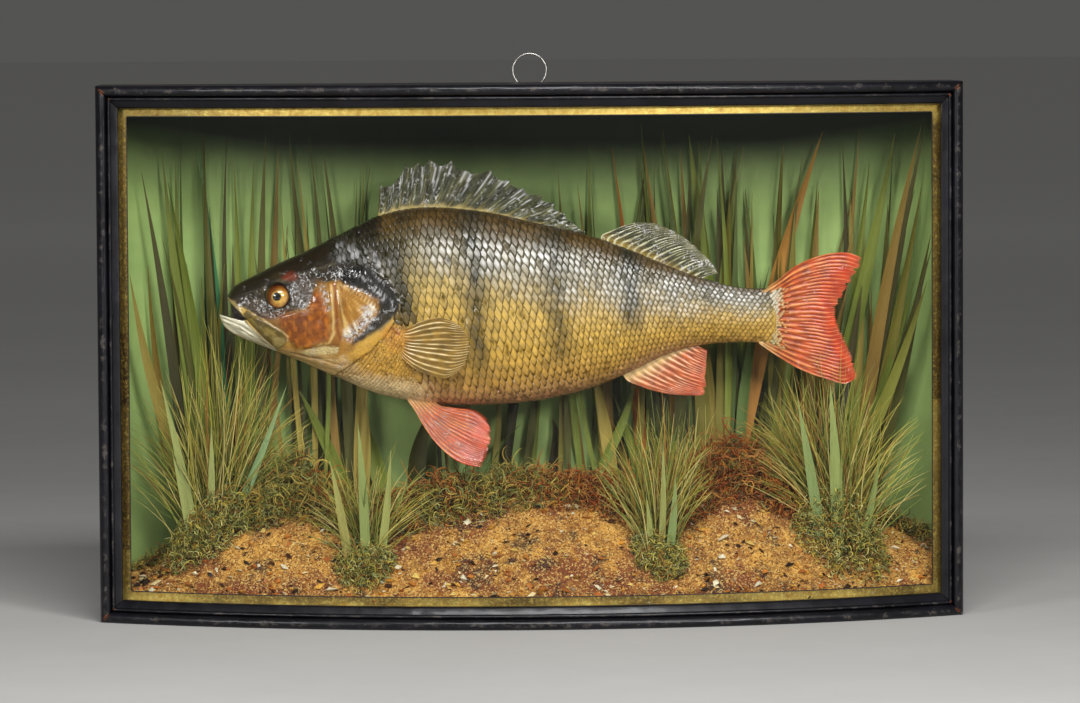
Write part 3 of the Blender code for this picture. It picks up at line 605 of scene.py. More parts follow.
def gilt_leaf():
    made, tree, shader = new_finish("gilt_leaf")
    place = tree.place()
    laid = tree.stretched(place, (26.0, 0.0, 23.0))
    cell = tree.add("ShaderNodeVectorMath", {0: laid}, operation="FLOOR").outputs[0]
    leaf = tree.add("ShaderNodeTexWhiteNoise", {"Vector": cell}).outputs["Value"]
    clouds = tree.group(MOTTLE, Vector=place, Scale=260.0, Dark=paint(204, 158, 60),
                        Light=paint(255, 230, 124))
    brown = tree.group(MOTTLE, Vector=place, Scale=210.0, Dark=paint(30, 18, 2), Light=paint(88, 60, 9))
    along, high = tree.axis(place, "X"), tree.axis(place, "Z")
    # Painted light: the top strip is brighter in its middle, dimmer at the left and a little dimmer at the
    # right.
    middle = tree.times(tree.spread(along, -0.20, -0.07, 0.22), tree.spread(along, 0.06, 0.16, 1.0, 0.6))
    painted_light_top = tree.times(tree.spread(high, 0.296, 0.306), middle)
    # Painted highlights: bright streaky patches on the bottom strip.
    patches = tree.noise(tree.stretched(place, (24.0, 0.0, 90.0)), 1.0, 5.0, 0.6)
    painted_highlights_bottom = tree.times(tree.spread(high, 0.020, 0.012), tree.spread(patches, 0.42, 0.60, 0.10, 0.72))
    veins = tree.spread(tree.noise(place, 620.0, 6.0, 0.75), 0.50, 0.63, 0.0, 0.42)
    lit = tree.plus(tree.plus(painted_light_top, veins), painted_highlights_bottom)
    tone = tree.plus(tree.times(leaf, 0.28), lit, clamp=True)
    colour = tree.mix(tone, brown["Color"], clouds["Color"])
    rough = tree.spread(clouds["Mask"], 0.0, 1.0, 0.46, 0.27)
    creases = tree.noise(place, 900.0, 4.0, 0.7)
    feed(tree, shader, Base_Color=colour, Metallic=0.5, Roughness=rough,
         Normal=tree.bump(creases, 0.0002, 0.7))
    return made


def line_paint():
    made, tree, shader = new_finish("black_line")
    place = tree.place()
    colour = tree.group(MOTTLE, Vector=place, Scale=300.0, Dark=paint(14, 6, 5),
                        Light=paint(38, 20, 14))["Color"]
    feed(tree, shader, Base_Color=colour, Roughness=0.5)
    return made


def slip_strip(x, z, across_x, across_z):
    """A strip from inner edge to outer: arrays along it, and how it widens in x and z."""
    widths = np.array((0.0, BLACK_LINE, GILT_SHOWN, GILT_SHOWN + GILT_LAP))
    xs, zs = x[:, None] + across_x * widths, z[:, None] + across_z * widths
    front = xyz(xs, bow_y(xs, GILT_BACK_R + GILT_T), zs)
    back = xyz(xs, bow_y(xs, GILT_BACK_R), zs)
    return np.concatenate([front, back[:, ::-1]], 1)


inner_x, inner_low, inner_high = SIGHT_X - GILT_SHOWN, SIGHT_LOW + GILT_SHOWN, SIGHT_HIGH - GILT_SHOWN
along = np.linspace(-1, 1, RAIL_BENDS)
upright = np.linspace(inner_low, inner_high, STILE_STEPS)
strips = [
    slip_strip(along * inner_x, np.full(RAIL_BENDS, inner_high), 0, 1),
    slip_strip(along * inner_x, np.full(RAIL_BENDS, inner_low), 0, -1),
]
for sign in (-1, 1):
    reach = np.concatenate([[SIGHT_LOW - GILT_LAP], upright, [SIGHT_HIGH + GILT_LAP]])
    strips.append(slip_strip(np.full(len(reach), sign * inner_x), reach, sign, 0))
points, faces = [], []
for strip in strips:
    start = sum(len(p) for p in points)
    faces += [[i + start for i in f] for f in tube_faces(len(strip), 8)]
    points.append(strip.reshape(-1, 3))
slip = put_mesh("gilt_border", np.concatenate(points), faces, gilt_leaf(), 40)
slip.data.materials.append(line_paint())
for polygon in slip.data.polygons:
    corner = np.abs(np.array(polygon.center))
    outside = max(corner[0] - inner_x, inner_low - corner[2], corner[2] - inner_high)
    polygon.material_index = int(outside < BLACK_LINE)
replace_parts(slip, "gilt_slip")

# %% [markdown]
# ## The glass
#
# One pane of old glass is bent to the bow. It is a closed sheet two millimetres thick.
# A true refracting glass would darken and slow everything behind it, so the pane is
# nearly clear by its alpha, and keeps a smooth, shiny surface for the reflections.

# %% The glass
old_glass, tree, shader = new_finish("old_glass")
feed(tree, shader, Base_Color=(0.03, 0.035, 0.03), Roughness=0.06, Alpha=0.06, Specular_IOR_Level=0.5)
BENDS = 81
xs = np.linspace(-1, 1, BENDS) * (SIGHT_X + GLASS_LAP)
near, far = bow_y(xs, GLASS_BACK_R + GLASS_T), bow_y(xs, GLASS_BACK_R)
lowest, highest = SIGHT_LOW - GLASS_LAP, SIGHT_HIGH + GLASS_LAP
ring = [xyz(xs, near, lowest), xyz(xs, far, lowest), xyz(xs, far, highest), xyz(xs, near, highest)]
pane = put_mesh("bowed_pane", np.stack(ring, 1), tube_faces(BENDS, 4), old_glass, 30)
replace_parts(pane, "glass_pane")

# %% [markdown]
# ## The painted back and sides
#
# A sheet of card curves round the back corners with no seam, painted pond green with a
# wide brush. The brush leaves soft upright streaks, and the paint is cloudier and darker
# low down. Under the top board the paint goes near black, reaching less far down at the
# sides: this is painted shade, where the top board keeps the light off. The sheet is swept
# once round its plan.

# %% The painted back
def cove_line(inset, steps=18):
    """Plan of the backdrop, left front to right front, with coved back corners."""
    side, back, radius = BACKDROP_SIDE_X - inset, BACKDROP_Y - inset, COVE_R - inset
    front = float(bow_y(side, FRAME_BACK_R - GAP))
    points = [(-side, front)]
    for sign, start in ((-1, 180), (1, 90)):
        for i in range(steps + 1):
            a = math.radians(start - 90 * i / steps)
            points.append((sign * (side - radius) + radius * math.cos(a),
                           back - radius + radius * math.sin(a)))
    return np.array(points + [(side, front)])


def pond_paint():
    made, tree, shader = new_finish("pond_green_paint")
    place = tree.place()
    wash = tree.group(MOTTLE, Vector=place, Scale=7.0, Dark=paint(134, 160, 86),
                      Light=paint(168, 196, 112))["Color"]
    brushed = tree.group(FIBRES, Vector=place, Stretch=(240.0, 240.0, 9.0), Contrast=0.3)
    streaked = tree.mix(tree.times(brushed["Fac"], 0.16), wash, paint(176, 204, 140))
    high = tree.axis(place, "Z")
    # Darker towards the bottom.
    deep = tree.spread(high, 0.02, 0.16, 0.30, 0.0)
    colour = tree.mix(deep, streaked, paint(92, 110, 56))
    # Painted shade under the top board: near black at the top, reaching less far down at the sides.
    shade_lift_at_sides = tree.spread(tree.maths("ABSOLUTE", tree.axis(place, "X")), 0.15, 0.24, 0.0, 0.014)
    shade_height = tree.plus(tree.less(high, shade_lift_at_sides), tree.times(brushed["Fac"], 0.004))
    painted_shade_top = tree.spread(shade_height, 0.246, 0.288, 0.0, 0.97)
    colour = tree.mix(painted_shade_top, colour, paint(10, 11, 8))
    feed(tree, shader, Base_Color=colour, Roughness=0.75, Normal=tree.bump(brushed["Height"], 0.0001, 0.5))
    return made


inner, outer = cove_line(0.0), cove_line(-BACKDROP_T)
walls = [(inner, FLOOR_Z), (outer, FLOOR_Z), (outer, CEILING_Z), (inner, CEILING_Z)]
points = np.stack([np.column_stack([plan, np.full(len(plan), z)]) for plan, z in walls], 1)
painted_back = put_mesh("painted_backdrop", points, tube_faces(len(inner), 4), pond_paint(), 40)
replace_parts(painted_back, "backdrop")

# %% [markdown]
# ## The back board and the hanger
#
# The back is thin stained deal. It stays as the plain board, and its finish carries the
# grain: streaks along the board, bent by slow waves so that they look sawn from a tree.
# The hanging ring is a loop of dull steel wire, finer here than the plain one.

# %% The back board and the hanger
def stained_deal():
    made, tree, shader = new_finish("stained_deal")
    place = tree.place()
    waves = {"Vector": tree.stretched(place, (1.6, 1.0, 22.0)), "Scale": 6.0, "Distortion": 9.0,
             "Detail": 3.0, "Detail Scale": 1.4}
    bent = tree.add("ShaderNodeTexWave", waves, bands_direction="Z").outputs["Fac"]
    pores = tree.group(FIBRES, Vector=place, Stretch=(24.0, 900.0, 1500.0), Contrast=0.32)
    colour = tree.mix(bent, paint(96, 64, 38), paint(142, 101, 62))
    colour = tree.mix(tree.times(pores["Fac"], 0.35), colour, paint(70, 45, 27))
    dirt = tree.group(RUBBING, Vector=place, Scale=22.0, Amount=0.42)["Mask"]
    colour = tree.mix(tree.times(dirt, 0.4), colour, paint(48, 34, 24))
    height = tree.plus(pores["Height"], tree.times(bent, 0.5))
    feed(tree, shader, Base_Color=colour, Roughness=0.68, Normal=tree.bump(height, 0.00025, 0.7))
    return made


def dull_steel():
    made, tree, shader = new_finish("dull_steel")
    place = tree.place()
    rust = tree.group(RUBBING, Vector=place, Scale=600.0, Amount=0.3)["Mask"]
    grey = tree.group(MOTTLE, Vector=place, Scale=500.0, Dark=paint(118, 116, 110),
                      Light=paint(184, 182, 176))["Color"]
    feed(tree, shader, Base_Color=tree.mix(rust, grey, paint(96, 66, 48)), Metallic=0.9,
         Roughness=tree.spread(rust, 0, 1, 0.32, 0.7),
         Normal=tree.bump(tree.noise(place, 2500.0), 0.00006, 0.6))
    return made


DEAL, STEEL = stained_deal(), dull_steel()
for finish, names in (
    (DEAL, ("back_board", "mount_peg_front", "mount_peg_rear")),
    (STEEL, ("hanger_plate", "hanger_tube", "hanger_screw_upper", "hanger_screw_lower")),
):
    for name in names:
        nodes[name].material_slots[0].material = finish
HANGER_X, RING_R, RING_WIRE_R = 0.0022, 0.0103, 0.0007
RING_Z, RING_Y = CASE_H + 0.0071, Y_BACK + HANGER_D - 0.0022
ROUND_RING, ROUND_WIRE = 72, 10
around = np.linspace(0, 2 * math.pi, ROUND_RING, endpoint=False)[:, None]
across = np.linspace(0, 2 * math.pi, ROUND_WIRE, endpoint=False)
reach = RING_R + RING_WIRE_R * np.cos(across)
points = xyz(
    HANGER_X + reach * np.cos(around),
    RING_Y + RING_WIRE_R * np.sin(across),
    RING_Z + reach * np.sin(around),
)
ring_faces = grid_faces(ROUND_RING, ROUND_WIRE, loop_columns=True, loop_rows=True)[:, ::-1]
ring = put_mesh("wire_ring", points, ring_faces, STEEL, 180)
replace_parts(ring, "hanger_ring")

# %% [markdown]
# ## The sanded bank
#
# The bank is plaster over a carved block, coated with sand while wet. Its form repeats
# the plain solid's: low at the glass, up to a crest half way back. First come the helpers
# that give its height anywhere, because everything planted in it starts from them.

# %% The form of the bank
CREST = (
    (-0.250, 0.018), (-0.225, 0.028), (-0.190, 0.047), (-0.130, 0.060), (-0.100, 0.050),
    (-0.060, 0.058), (0.016, 0.071), (0.055, 0.062), (0.085, 0.053), (0.122, 0.074), (0.160, 0.058),
    (0.200, 0.050), (0.250, 0.036),
)
GROUND_FRONT, GROUND_BACK_RISE, CREST_DEPTH = 0.0125, 0.008, 0.5


def curve_through(table):
    """A smooth curve y(x) through the points of the table, for whole arrays of x."""
    xs, ys = np.array(table, float).T
    widths, secants = np.diff(xs), np.diff(ys) / np.diff(xs)
    inner_slopes = (secants[:-1] * widths[1:] + secants[1:] * widths[:-1]) / (widths[1:] + widths[:-1])
    slopes = np.concatenate([secants[:1], inner_slopes, secants[-1:]])

    def at(x):
        x = np.asarray(x, float)
        i = np.clip(np.searchsorted(xs, x) - 1, 0, len(xs) - 2)
        t = np.clip((x - xs[i]) / widths[i], 0.0, 1.0)
        rise = ys[i] * (1 + 2 * t) * (1 - t) ** 2 + ys[i + 1] * t * t * (3 - 2 * t)
        bend = slopes[i] * t * (1 - t) ** 2 - slopes[i + 1] * t * t * (1 - t)
        return rise + widths[i] * bend

    return at


crest_height = curve_through(CREST)


def back_plane_y(x, clear):
    """The backdrop's face at x, less this clearance, round the coves too."""
    side, radius = BACKDROP_SIDE_X - clear, COVE_R - clear
    into_cove = np.clip(np.abs(x) - (side - radius), 0.0, radius)
    return BACKDROP_Y - clear - radius + np.sqrt(radius**2 - into_cove**2)


def ground_edges(x):
    return bow_y(x, FRAME_BACK_R - 0.0008), back_plane_y(x, 0.0008)


def ground_height(x, depth):
    climb = np.minimum(depth / CREST_DEPTH, 1.0)
    height = GROUND_FRONT + (crest_height(x) - GROUND_FRONT) * np.sin(climb * math.pi / 2) ** 1.3
    height = height + GROUND_BACK_RISE * np.maximum(0.0, depth - CREST_DEPTH) / (1 - CREST_DEPTH)
    return height + 0.0012 * np.sin(95 * x) * np.sin(7 * depth + 40 * x) * climb


def ground_z(x, y):
    front, back = ground_edges(x)
    return ground_height(x, np.clip((y - front) / (back - front), 0.0, 1.0))


print("the bank is highest at",
      round(float(ground_height(np.linspace(-0.24, 0.24, 97), 1.0).max()), 4), "m")

# %% [markdown]
# ## The bank's skin of sand
#
# A finer grid than the plain solid's adds the small hollows. The finish holds ochre sand,
# red-brown stains and single grains, each in a cell of its own.

# %% The sanded bank
def sanded_plaster():
    made, tree, shader = new_finish("sanded_plaster")
    place = tree.place()
    ochres = {"Dark": paint(132, 80, 24), "Light": paint(222, 164, 68)}
    sand = tree.group(MOTTLE, Vector=place, Scale=70.0, **ochres)["Color"]
    stain = tree.spread(tree.noise(place, 26.0, 6.0, 0.66), 0.46, 0.56)
    colour = tree.mix(tree.times(stain, 0.85), sand, paint(118, 48, 16))
    dirt = tree.spread(tree.noise(place, 44.0, 5.0, 0.7), 0.53, 0.62)
    colour = tree.mix(tree.times(dirt, 0.85), colour, paint(50, 30, 14))
    cells = tree.add("ShaderNodeTexVoronoi", {"Vector": place, "Scale": 1150.0})
    tone = tree.add("ShaderNodeSeparateColor", {0: cells.outputs["Color"]}).outputs["Red"]
    colour = tree.mix(tree.times(tree.spread(tone, 0.72, 0.95), 0.75), colour, paint(72, 40, 22))
    colour = tree.mix(tree.times(tree.spread(tone, 0.3, 0.08), 0.6), colour, paint(238, 200, 118))
    height = tree.less(1.0, cells.outputs["Distance"])
    feed(tree, shader, Base_Color=colour, Roughness=0.82, Normal=tree.bump(height, 0.0006, 0.9))
    return made


BANK_COLUMNS, BANK_ROWS = 260, 90
share, depth = np.meshgrid(np.linspace(-1, 1, BANK_COLUMNS), np.linspace(0, 1, BANK_ROWS), indexing="ij")
bank_x = share * (BACKDROP_SIDE_X - 0.0012)
front, back = ground_edges(bank_x)
top = xyz(bank_x, front + (back - front) * depth, ground_height(bank_x, depth))
rough_edge = smooth_step(depth, 0.0, 0.05)
top[..., 2] += rough_edge * (0.00055 * ripple(top, 0.011, 11) + 0.00028 * ripple(top, 0.0035, 12))
foot = top[:, [-1, 0]]
foot[..., 2] = FLOOR_Z
bank_rings = np.concatenate([top, foot], 1)
bank = put_mesh("sanded_bank", bank_rings, tube_faces(BANK_COLUMNS, BANK_ROWS + 2), sanded_plaster(), 60)
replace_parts(bank, "groundwork")

# %% [markdown]
# ## Grit and shell chips
#
# Coarse grit and broken shell lie in the sand, thickest near the glass. Each is a small
# eight-sided stone with its corners pushed about, flattened for shell. They are joined
# into one mesh, each with its own colour, which costs far less than separate objects.

# %% Grit and shell chips
def tinted(name, roughness, bump_scale, depth_of_bump, streaks=None, coat=0.0, shine=0.2):
    """A finish whose base colour is each shape's own tint, varied by mottling or fibres."""
    made, tree, shader = new_finish(name)
    place = tree.place()
    tint = tree.carried("tint", "Color")
    if streaks:
        lines = tree.group(FIBRES, Vector=place, Stretch=streaks, Contrast=0.3)
        shade, height = lines["Fac"], lines["Height"]
    else:
        height = tree.noise(place, bump_scale, 4.0, 0.6)
        shade = tree.spread(height, 0.3, 0.7)
    darker = tree.mix(1.0, tint, (0.62, 0.60, 0.50), "MULTIPLY")
    colour = tree.mix(shade, darker, tint)
    feed(tree, shader, Base_Color=colour, Roughness=roughness, Specular_IOR_Level=shine,
         Coat_Weight=coat, Coat_Roughness=0.2, Normal=tree.bump(height, depth_of_bump, 0.7))
    return made


STONE = np.array([(1, 0, 0), (0, 1, 0), (-1, 0, 0), (0, -1, 0), (0, 0, 1), (0, 0, -1)], float)
STONE_FACES = [(0, 1, 4), (1, 2, 4), (2, 3, 4), (3, 0, 4), (1, 0, 5), (2, 1, 5), (3, 2, 5), (0, 3, 5)]


def loose_stones(name, seed, count, frontness, sizes, flatness, palette, finish):
    """Stones at random places on the bank, more near the glass as frontness grows."""
    draw = np.random.default_rng(seed)
    at_x = draw.uniform(-0.246, 0.246, count)
    front, back = ground_edges(at_x)
    at_y = front + (back - front) * draw.uniform(0.01, 0.75, count) ** frontness
    at = xyz(at_x, at_y, ground_z(at_x, at_y))
    size = draw.uniform(*sizes, (count, 1, 1)) * draw.uniform(0.6, 1.3, (count, 1, 3))
    shape = STONE[None] * draw.uniform(0.65, 1.2, (count, 6, 3)) * size
    shape[..., 2] *= flatness
    turn = draw.uniform(0, 2 * math.pi, count)[:, None]
    tilt = draw.normal(0, 0.35, (count, 2))
    x = shape[..., 0] * np.cos(turn) - shape[..., 1] * np.sin(turn)
    y = shape[..., 0] * np.sin(turn) + shape[..., 1] * np.cos(turn)
    z = shape[..., 2] + x * tilt[:, :1] + y * tilt[:, 1:] + 0.25 * size[:, :, 0]
    points = xyz(x, y, z) + at[:, None]
    inside = points[..., 1].max(1) < back_plane_y(at_x, 0.002)
    colours = np.array([paint(*c) for c in palette])[draw.integers(0, len(palette), count)]
    colours = np.repeat(colours[:, None] * draw.uniform(0.75, 1.15, (count, 1, 1)), 6, 1)
    points, colours = points[inside], colours[inside]
    uv = cell_map(len(points), STONE[:, :2] * 0.5 + 0.5)
    stones = put_mesh(name, points, repeated(STONE_FACES, len(points), 6), finish, None, colours, uv)
    print(name, "stones:", len(points))


GRIT_COLOURS = (
    (190, 132, 58), (140, 66, 28), (220, 172, 90), (104, 50, 24), (168, 96, 40), (240, 208, 140),
    (66, 38, 22),
)
SHELL_COLOURS = (
    (240, 220, 168), (236, 202, 112), (226, 172, 74), (250, 240, 208), (48, 32, 24), (206, 128, 52),
    (74, 40, 24), (222, 152, 56), (190, 110, 50),
)
grit = tinted("grit", 0.75, 900.0, 0.0001)
shell = tinted("shell", 0.42, 700.0, 0.0001, shine=0.35)
loose_stones("sand_grit", 31, 15000, 1.25, (0.00022, 0.00062), 0.8, GRIT_COLOURS, grit)
loose_stones("shell_chips", 32, 1500, 1.6, (0.0007, 0.0022), 0.34, SHELL_COLOURS, shell)
loose_stones("large_chips", 33, 520, 1.5, (0.0016, 0.0036), 0.5, SHELL_COLOURS, shell)

# %% [markdown]
# ## Blades and strands
#
# Reeds are broad and folded along the middle, grass is thin, and moss is a tangle of
# short curly strands. All of them are closed solids: `blade_bundle` lofts a folded
# section along a bent line, and `strand_bundle` gives a path three sides. The first is for
# anything that shows its width, the second for anything that only reads as a line.

# %% Blades and strands
# Across a folded blade and back again, and which of its two faces each point lies on.
FOLD_ACROSS = np.array([-1, -0.5, 0, 0.5, 1, 0.5, 0, -0.5])
FOLD_LIFT = np.array([0, 0.5, 1, 0.5, 0, 0.5, 1, 0.5])
FOLD_SIDE = np.array([0, 1, 1, 1, 0, -1, -1, -1])


def blade_bundle(foot, tip, width, sweep, fold, twist, thickness, stations=16):
    """Points of many folded blades, from arrays with one foot, tip and size for each."""
    t = np.linspace(0, 1, stations)
    line = foot[:, None] + (tip - foot)[:, None] * t[:, None]
    line[..., 0] += sweep[:, None] * np.sin(math.pi * t * 0.9)
    grow = 0.62 + 2.0 * t * (1 - t)
    half = (0.5 * width[:, None] * grow * np.maximum(1 - t**2.2, 0.02) ** 0.75)[..., None]
    angle = (twist[:, None] * t)[..., None]
    out = half * FOLD_ACROSS
    lift = fold[:, None, None] * half * FOLD_LIFT + 0.5 * thickness * FOLD_SIDE
    turned = xyz(out * np.cos(angle) - lift * np.sin(angle), out * np.sin(angle) + lift * np.cos(angle), 0)
    return line[:, :, None] + turned


def blades(name, points, tints, tip_tint, finish):
    """One mesh of many blades. Each has its own tint, which fades towards the tip's."""
    count, stations, sides = points.shape[:3]
    up = np.linspace(0, 1, stations)[:, None]
    aged = 0.45 * up[..., None] ** 3
    colour = np.broadcast_to(tints[:, None, None] * (1 - aged) + aged * paint(*tip_tint), points.shape)
    local = np.stack(np.broadcast_arrays((FOLD_ACROSS + 1) / 2, up), -1)
    faces = repeated(tube_faces(stations, sides), count, stations * sides)
    return put_mesh(name, points, faces, finish, 60, colour, cell_map(count, local.reshape(-1, 2)))


def strand_bundle(name, paths, radius, tints, finish, sides=3):
    """Thin closed strands along paths of shape (count, stations, 3), with their radii."""
    count, stations = paths.shape[:2]
    along = np.gradient(paths, axis=1)
    along /= np.linalg.norm(along, axis=-1, keepdims=True) + 1e-12
    aside = np.cross(along, np.array((0.31, 0.93, 0.17)))
    aside /= np.linalg.norm(aside, axis=-1, keepdims=True) + 1e-12
    above = np.cross(along, aside)
    t = np.linspace(0, 1, stations)
    taper = radius[:, None] * (1 - 0.85 * t[None] ** 2)
    turn = 2 * math.pi * np.arange(sides) / sides
    ring = np.cos(turn)[:, None] * aside[:, :, None] + np.sin(turn)[:, None] * above[:, :, None]
    points = paths[:, :, None] + ring * taper[..., None, None]
    fade = (0.62 + 0.48 * t)[None, :, None, None]
    colour = np.broadcast_to(tints[:, None, None] * fade, points.shape)
    local = np.stack(np.broadcast_arrays(np.arange(sides) / (sides - 1), t[:, None]), -1)
    faces = repeated(tube_faces(stations, sides), count, stations * sides)
    return put_mesh(name, points, faces, finish, 180, colour, cell_map(count, local.reshape(-1, 2)))


def pick(draw, palette, count, spread=0.16):
    """One tint for each shape: a colour of the palette, a little lighter or darker."""
    colours = np.array([paint(*c) for c in palette])
    return colours[draw.integers(0, len(palette), count)] * draw.uniform(1 - spread, 1 + spread, (count, 1))


print("section of a blade has", len(FOLD_ACROSS), "points")

# %% [markdown]
# ## The reeds on the back wall
#
# Broad dried leaves stand in two beds, left and right, with a sparse few between. Most
# are olive, some have dried to brown, tan or orange, and one at the left is stained
# blue-green. The first seventeen are the frame's own reeds. The rest fill the beds by
# rule: each has its foot in the bed and leans outwards more the nearer it is to a side.

# %% The reeds on the back wall
# Each reed: x of its foot and of its tip, height, width, sweep and distance from the wall.
REEDS = (
    (-0.1930, -0.2220, 0.280, 0.0075, -0.003, 0.010),
    (-0.1880, -0.2200, 0.262, 0.0085, 0.002, 0.015),
    (-0.1840, -0.2020, 0.284, 0.0080, 0.003, 0.005),
    (-0.2000, -0.2400, 0.208, 0.0075, -0.006, 0.014),
    (-0.1780, -0.1800, 0.276, 0.0055, 0.002, 0.006),
    (-0.1060, -0.1430, 0.292, 0.0065, -0.008, 0.006),
    (-0.1090, -0.1260, 0.281, 0.0070, 0.004, 0.010),
    (-0.1060, -0.1425, 0.137, 0.0085, 0.002, 0.016), (0.0700, 0.0510, 0.281, 0.0085, 0.004, 0.006),
    (0.0720, 0.0500, 0.134, 0.0075, 0.002, 0.014), (0.0800, 0.0840, 0.180, 0.0090, 0.002, 0.008),
    (0.1140, 0.0980, 0.289, 0.0120, 0.004, 0.008), (0.1240, 0.1300, 0.282, 0.0100, -0.004, 0.005),
    (0.1270, 0.1830, 0.291, 0.0120, -0.006, 0.012), (0.1720, 0.2240, 0.290, 0.0100, 0.003, 0.008),
    (0.1820, 0.2340, 0.272, 0.0090, 0.007, 0.010), (0.1880, 0.2400, 0.200, 0.0080, 0.004, 0.014),
)
OLIVE, BROWN_OLIVE, TEAL = (124, 138, 56), (88, 88, 38), (58, 136, 90)
TAN, ORANGE = (166, 148, 70), (214, 130, 60)
REED_TINTS = (
    OLIVE, OLIVE, TEAL, TAN, OLIVE, BROWN_OLIVE, BROWN_OLIVE, OLIVE, ORANGE, OLIVE, OLIVE, OLIVE,
    BROWN_OLIVE, (190, 134, 62), OLIVE, (132, 140, 60), (138, 140, 60),
)
BED_TINTS = (
    OLIVE, OLIVE, BROWN_OLIVE, BROWN_OLIVE, (54, 48, 26), (62, 60, 30), (130, 122, 50), TAN,
    (92, 114, 58), (146, 116, 54),
)
# Beds of more reeds: how many, feet from and to, tips from and to, heights, widths.
BEDS = (
    (24, (-0.210, -0.160), (-0.236, -0.146), (0.200, 0.294), (0.0030, 0.0070)),
    (16, (-0.150, -0.105), (-0.168, -0.090), (0.215, 0.296), (0.0020, 0.0060)),
    (9, (-0.060, 0.030), (-0.070, 0.040), (0.150, 0.290), (0.0018, 0.0050)),
    (9, (-0.150, 0.070), (-0.150, 0.080), (0.086, 0.160), (0.0050, 0.0110)),
    (16, (0.030, 0.085), (0.016, 0.090), (0.190, 0.288), (0.0024, 0.0065)),
    (76, (0.085, 0.210), (0.070, 0.243), (0.190, 0.297), (0.0034, 0.0100)),
)


def stand_reeds(seed):
    """Feet, tips and sizes of every reed: the frame's own first, then the beds'."""
    draw = np.random.default_rng(seed)
    rows = [list(r) for r in REEDS]
    tints = [paint(*c) for c in REED_TINTS]
    for count, feet, tips, heights, widths in BEDS:
        for k in range(count):
            share = (k + draw.uniform(0.1, 0.9)) / count
            foot = feet[0] + (feet[1] - feet[0]) * share
            tip = tips[0] + (tips[1] - tips[0]) * np.clip(share + draw.normal(0, 0.10), 0, 1)
            height, width = draw.uniform(*heights), draw.uniform(*widths)
            sweep, stand_off = draw.normal(0, 0.004), draw.uniform(0.003, 0.017)
            rows.append([foot, tip, height, width, sweep, stand_off])
            tints.append(pick(draw, BED_TINTS, 1)[0])
    foot_x, tip_x, tip_z, width, sweep, stand_off = np.array(rows).T
    foot_y = back_plane_y(foot_x, stand_off)
    foot = xyz(foot_x, foot_y, ground_z(foot_x, foot_y) + 0.0006)
    tip_y = np.minimum(back_plane_y(np.abs(tip_x) + width, 0.003), foot_y + 0.004)
    tip = xyz(tip_x, tip_y, tip_z)
    fold = draw.uniform(0.25, 0.55, len(rows))
    twist = draw.normal(0, 0.5, len(rows))
    return blade_bundle(foot, tip, width, sweep, fold, twist, 0.0004, 20), np.array(tints)


LEAF = tinted("dried_reed", 0.55, 500.0, 0.00025, streaks=(1500.0, 1500.0, 30.0), coat=0.15)
points, tints = stand_reeds(41)
points[..., 1] = np.minimum(points[..., 1], back_plane_y(points[..., 0], 0.0006))
reed_bed = blades("reed_beds", points, tints, (112, 106, 48), LEAF)
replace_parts(reed_bed, *[f"reed_{n:02d}" for n in range(1, 18)])
print("reeds:", len(tints))

# %% [markdown]
# ## Clumps of stiff leaves
#
# Four clumps stand in front: a few stiff, pale blue-green leaves grow out of a moss
# cushion. The leaves are folded blades with feet and tips where the plain clumps have
# them. The cushion itself is not a lump here but more than a thousand curly strands.

# %% Clumps of stiff leaves
# Each clump: x and y of its middle, its reach both ways, the cushion's height, and for
# each leaf where its foot and its tip stand across, how high the tip is, and the width.
CLUMPS = {
    "left": (-0.1950, 0.0100, 0.034, 0.014, 0.020, (
        (-0.0060, -0.0290, 0.145, 0.0070), (-0.0100, -0.0225, 0.102, 0.0055),
        (-0.0010, 0.0015, 0.117, 0.0060), (0.0060, 0.0470, 0.140, 0.0070),
    )),
    "mid_left": (-0.1010, -0.0300, 0.022, 0.012, 0.010, (
        (-0.0085, -0.0210, 0.099, 0.0070), (0.0005, -0.0040, 0.121, 0.0075),
        (0.0080, 0.0155, 0.104, 0.0065),
    )),
    "mid_right": (0.0760, -0.0300, 0.020, 0.012, 0.010, (
        (0.0040, 0.0085, 0.087, 0.0065), (0.0000, 0.0010, 0.109, 0.0050),
        (-0.0060, -0.0090, 0.076, 0.0050),
    )),
    "right": (0.1870, -0.0050, 0.036, 0.015, 0.022, (
        (-0.0110, -0.0275, 0.131, 0.0085), (-0.0020, -0.0075, 0.140, 0.0095),
        (0.0100, 0.0230, 0.098, 0.0065),
    )),
}
TEAL_LEAVES = ((138, 168, 118), (118, 162, 112), (158, 166, 98))
OLIVE_LEAVES = ((160, 164, 92), (146, 162, 92), (170, 164, 92), (132, 152, 92))


def curly_paths(draw, foot, reach, stations, curl, lift):
    """Random wandering paths: each starts at its foot and has this total length."""
    count = len(foot)
    heading = draw.normal(0, 1, (count, 3))
    heading[:, 2] = np.abs(heading[:, 2]) + lift
    heading /= np.linalg.norm(heading, axis=1, keepdims=True)
    spin = draw.normal(0, curl, (count, 3))
    steps = [foot]
    for _ in range(stations - 1):
        heading = heading + np.cross(heading, spin) + draw.normal(0, 0.22, (count, 3))
        heading /= np.linalg.norm(heading, axis=1, keepdims=True)
        steps.append(steps[-1] + heading * (reach / (stations - 1))[:, None])
    paths = np.stack(steps, 1)
    paths[..., 2] = np.maximum(paths[..., 2], ground_z(paths[..., 0], paths[..., 1]) + 0.0003)
    return paths


def keep_inside(paths, clear=0.0016):
    """Paths pushed back between the glass, the sides and the painted back."""
    paths[..., 0] = np.clip(paths[..., 0], -BACKDROP_SIDE_X + clear, BACKDROP_SIDE_X - clear)
    nearest = bow_y(np.clip(paths[..., 0], -0.25, 0.25), GILT_BACK_R) + clear
    paths[..., 1] = np.clip(paths[..., 1], nearest, back_plane_y(paths[..., 0], clear))
    return paths


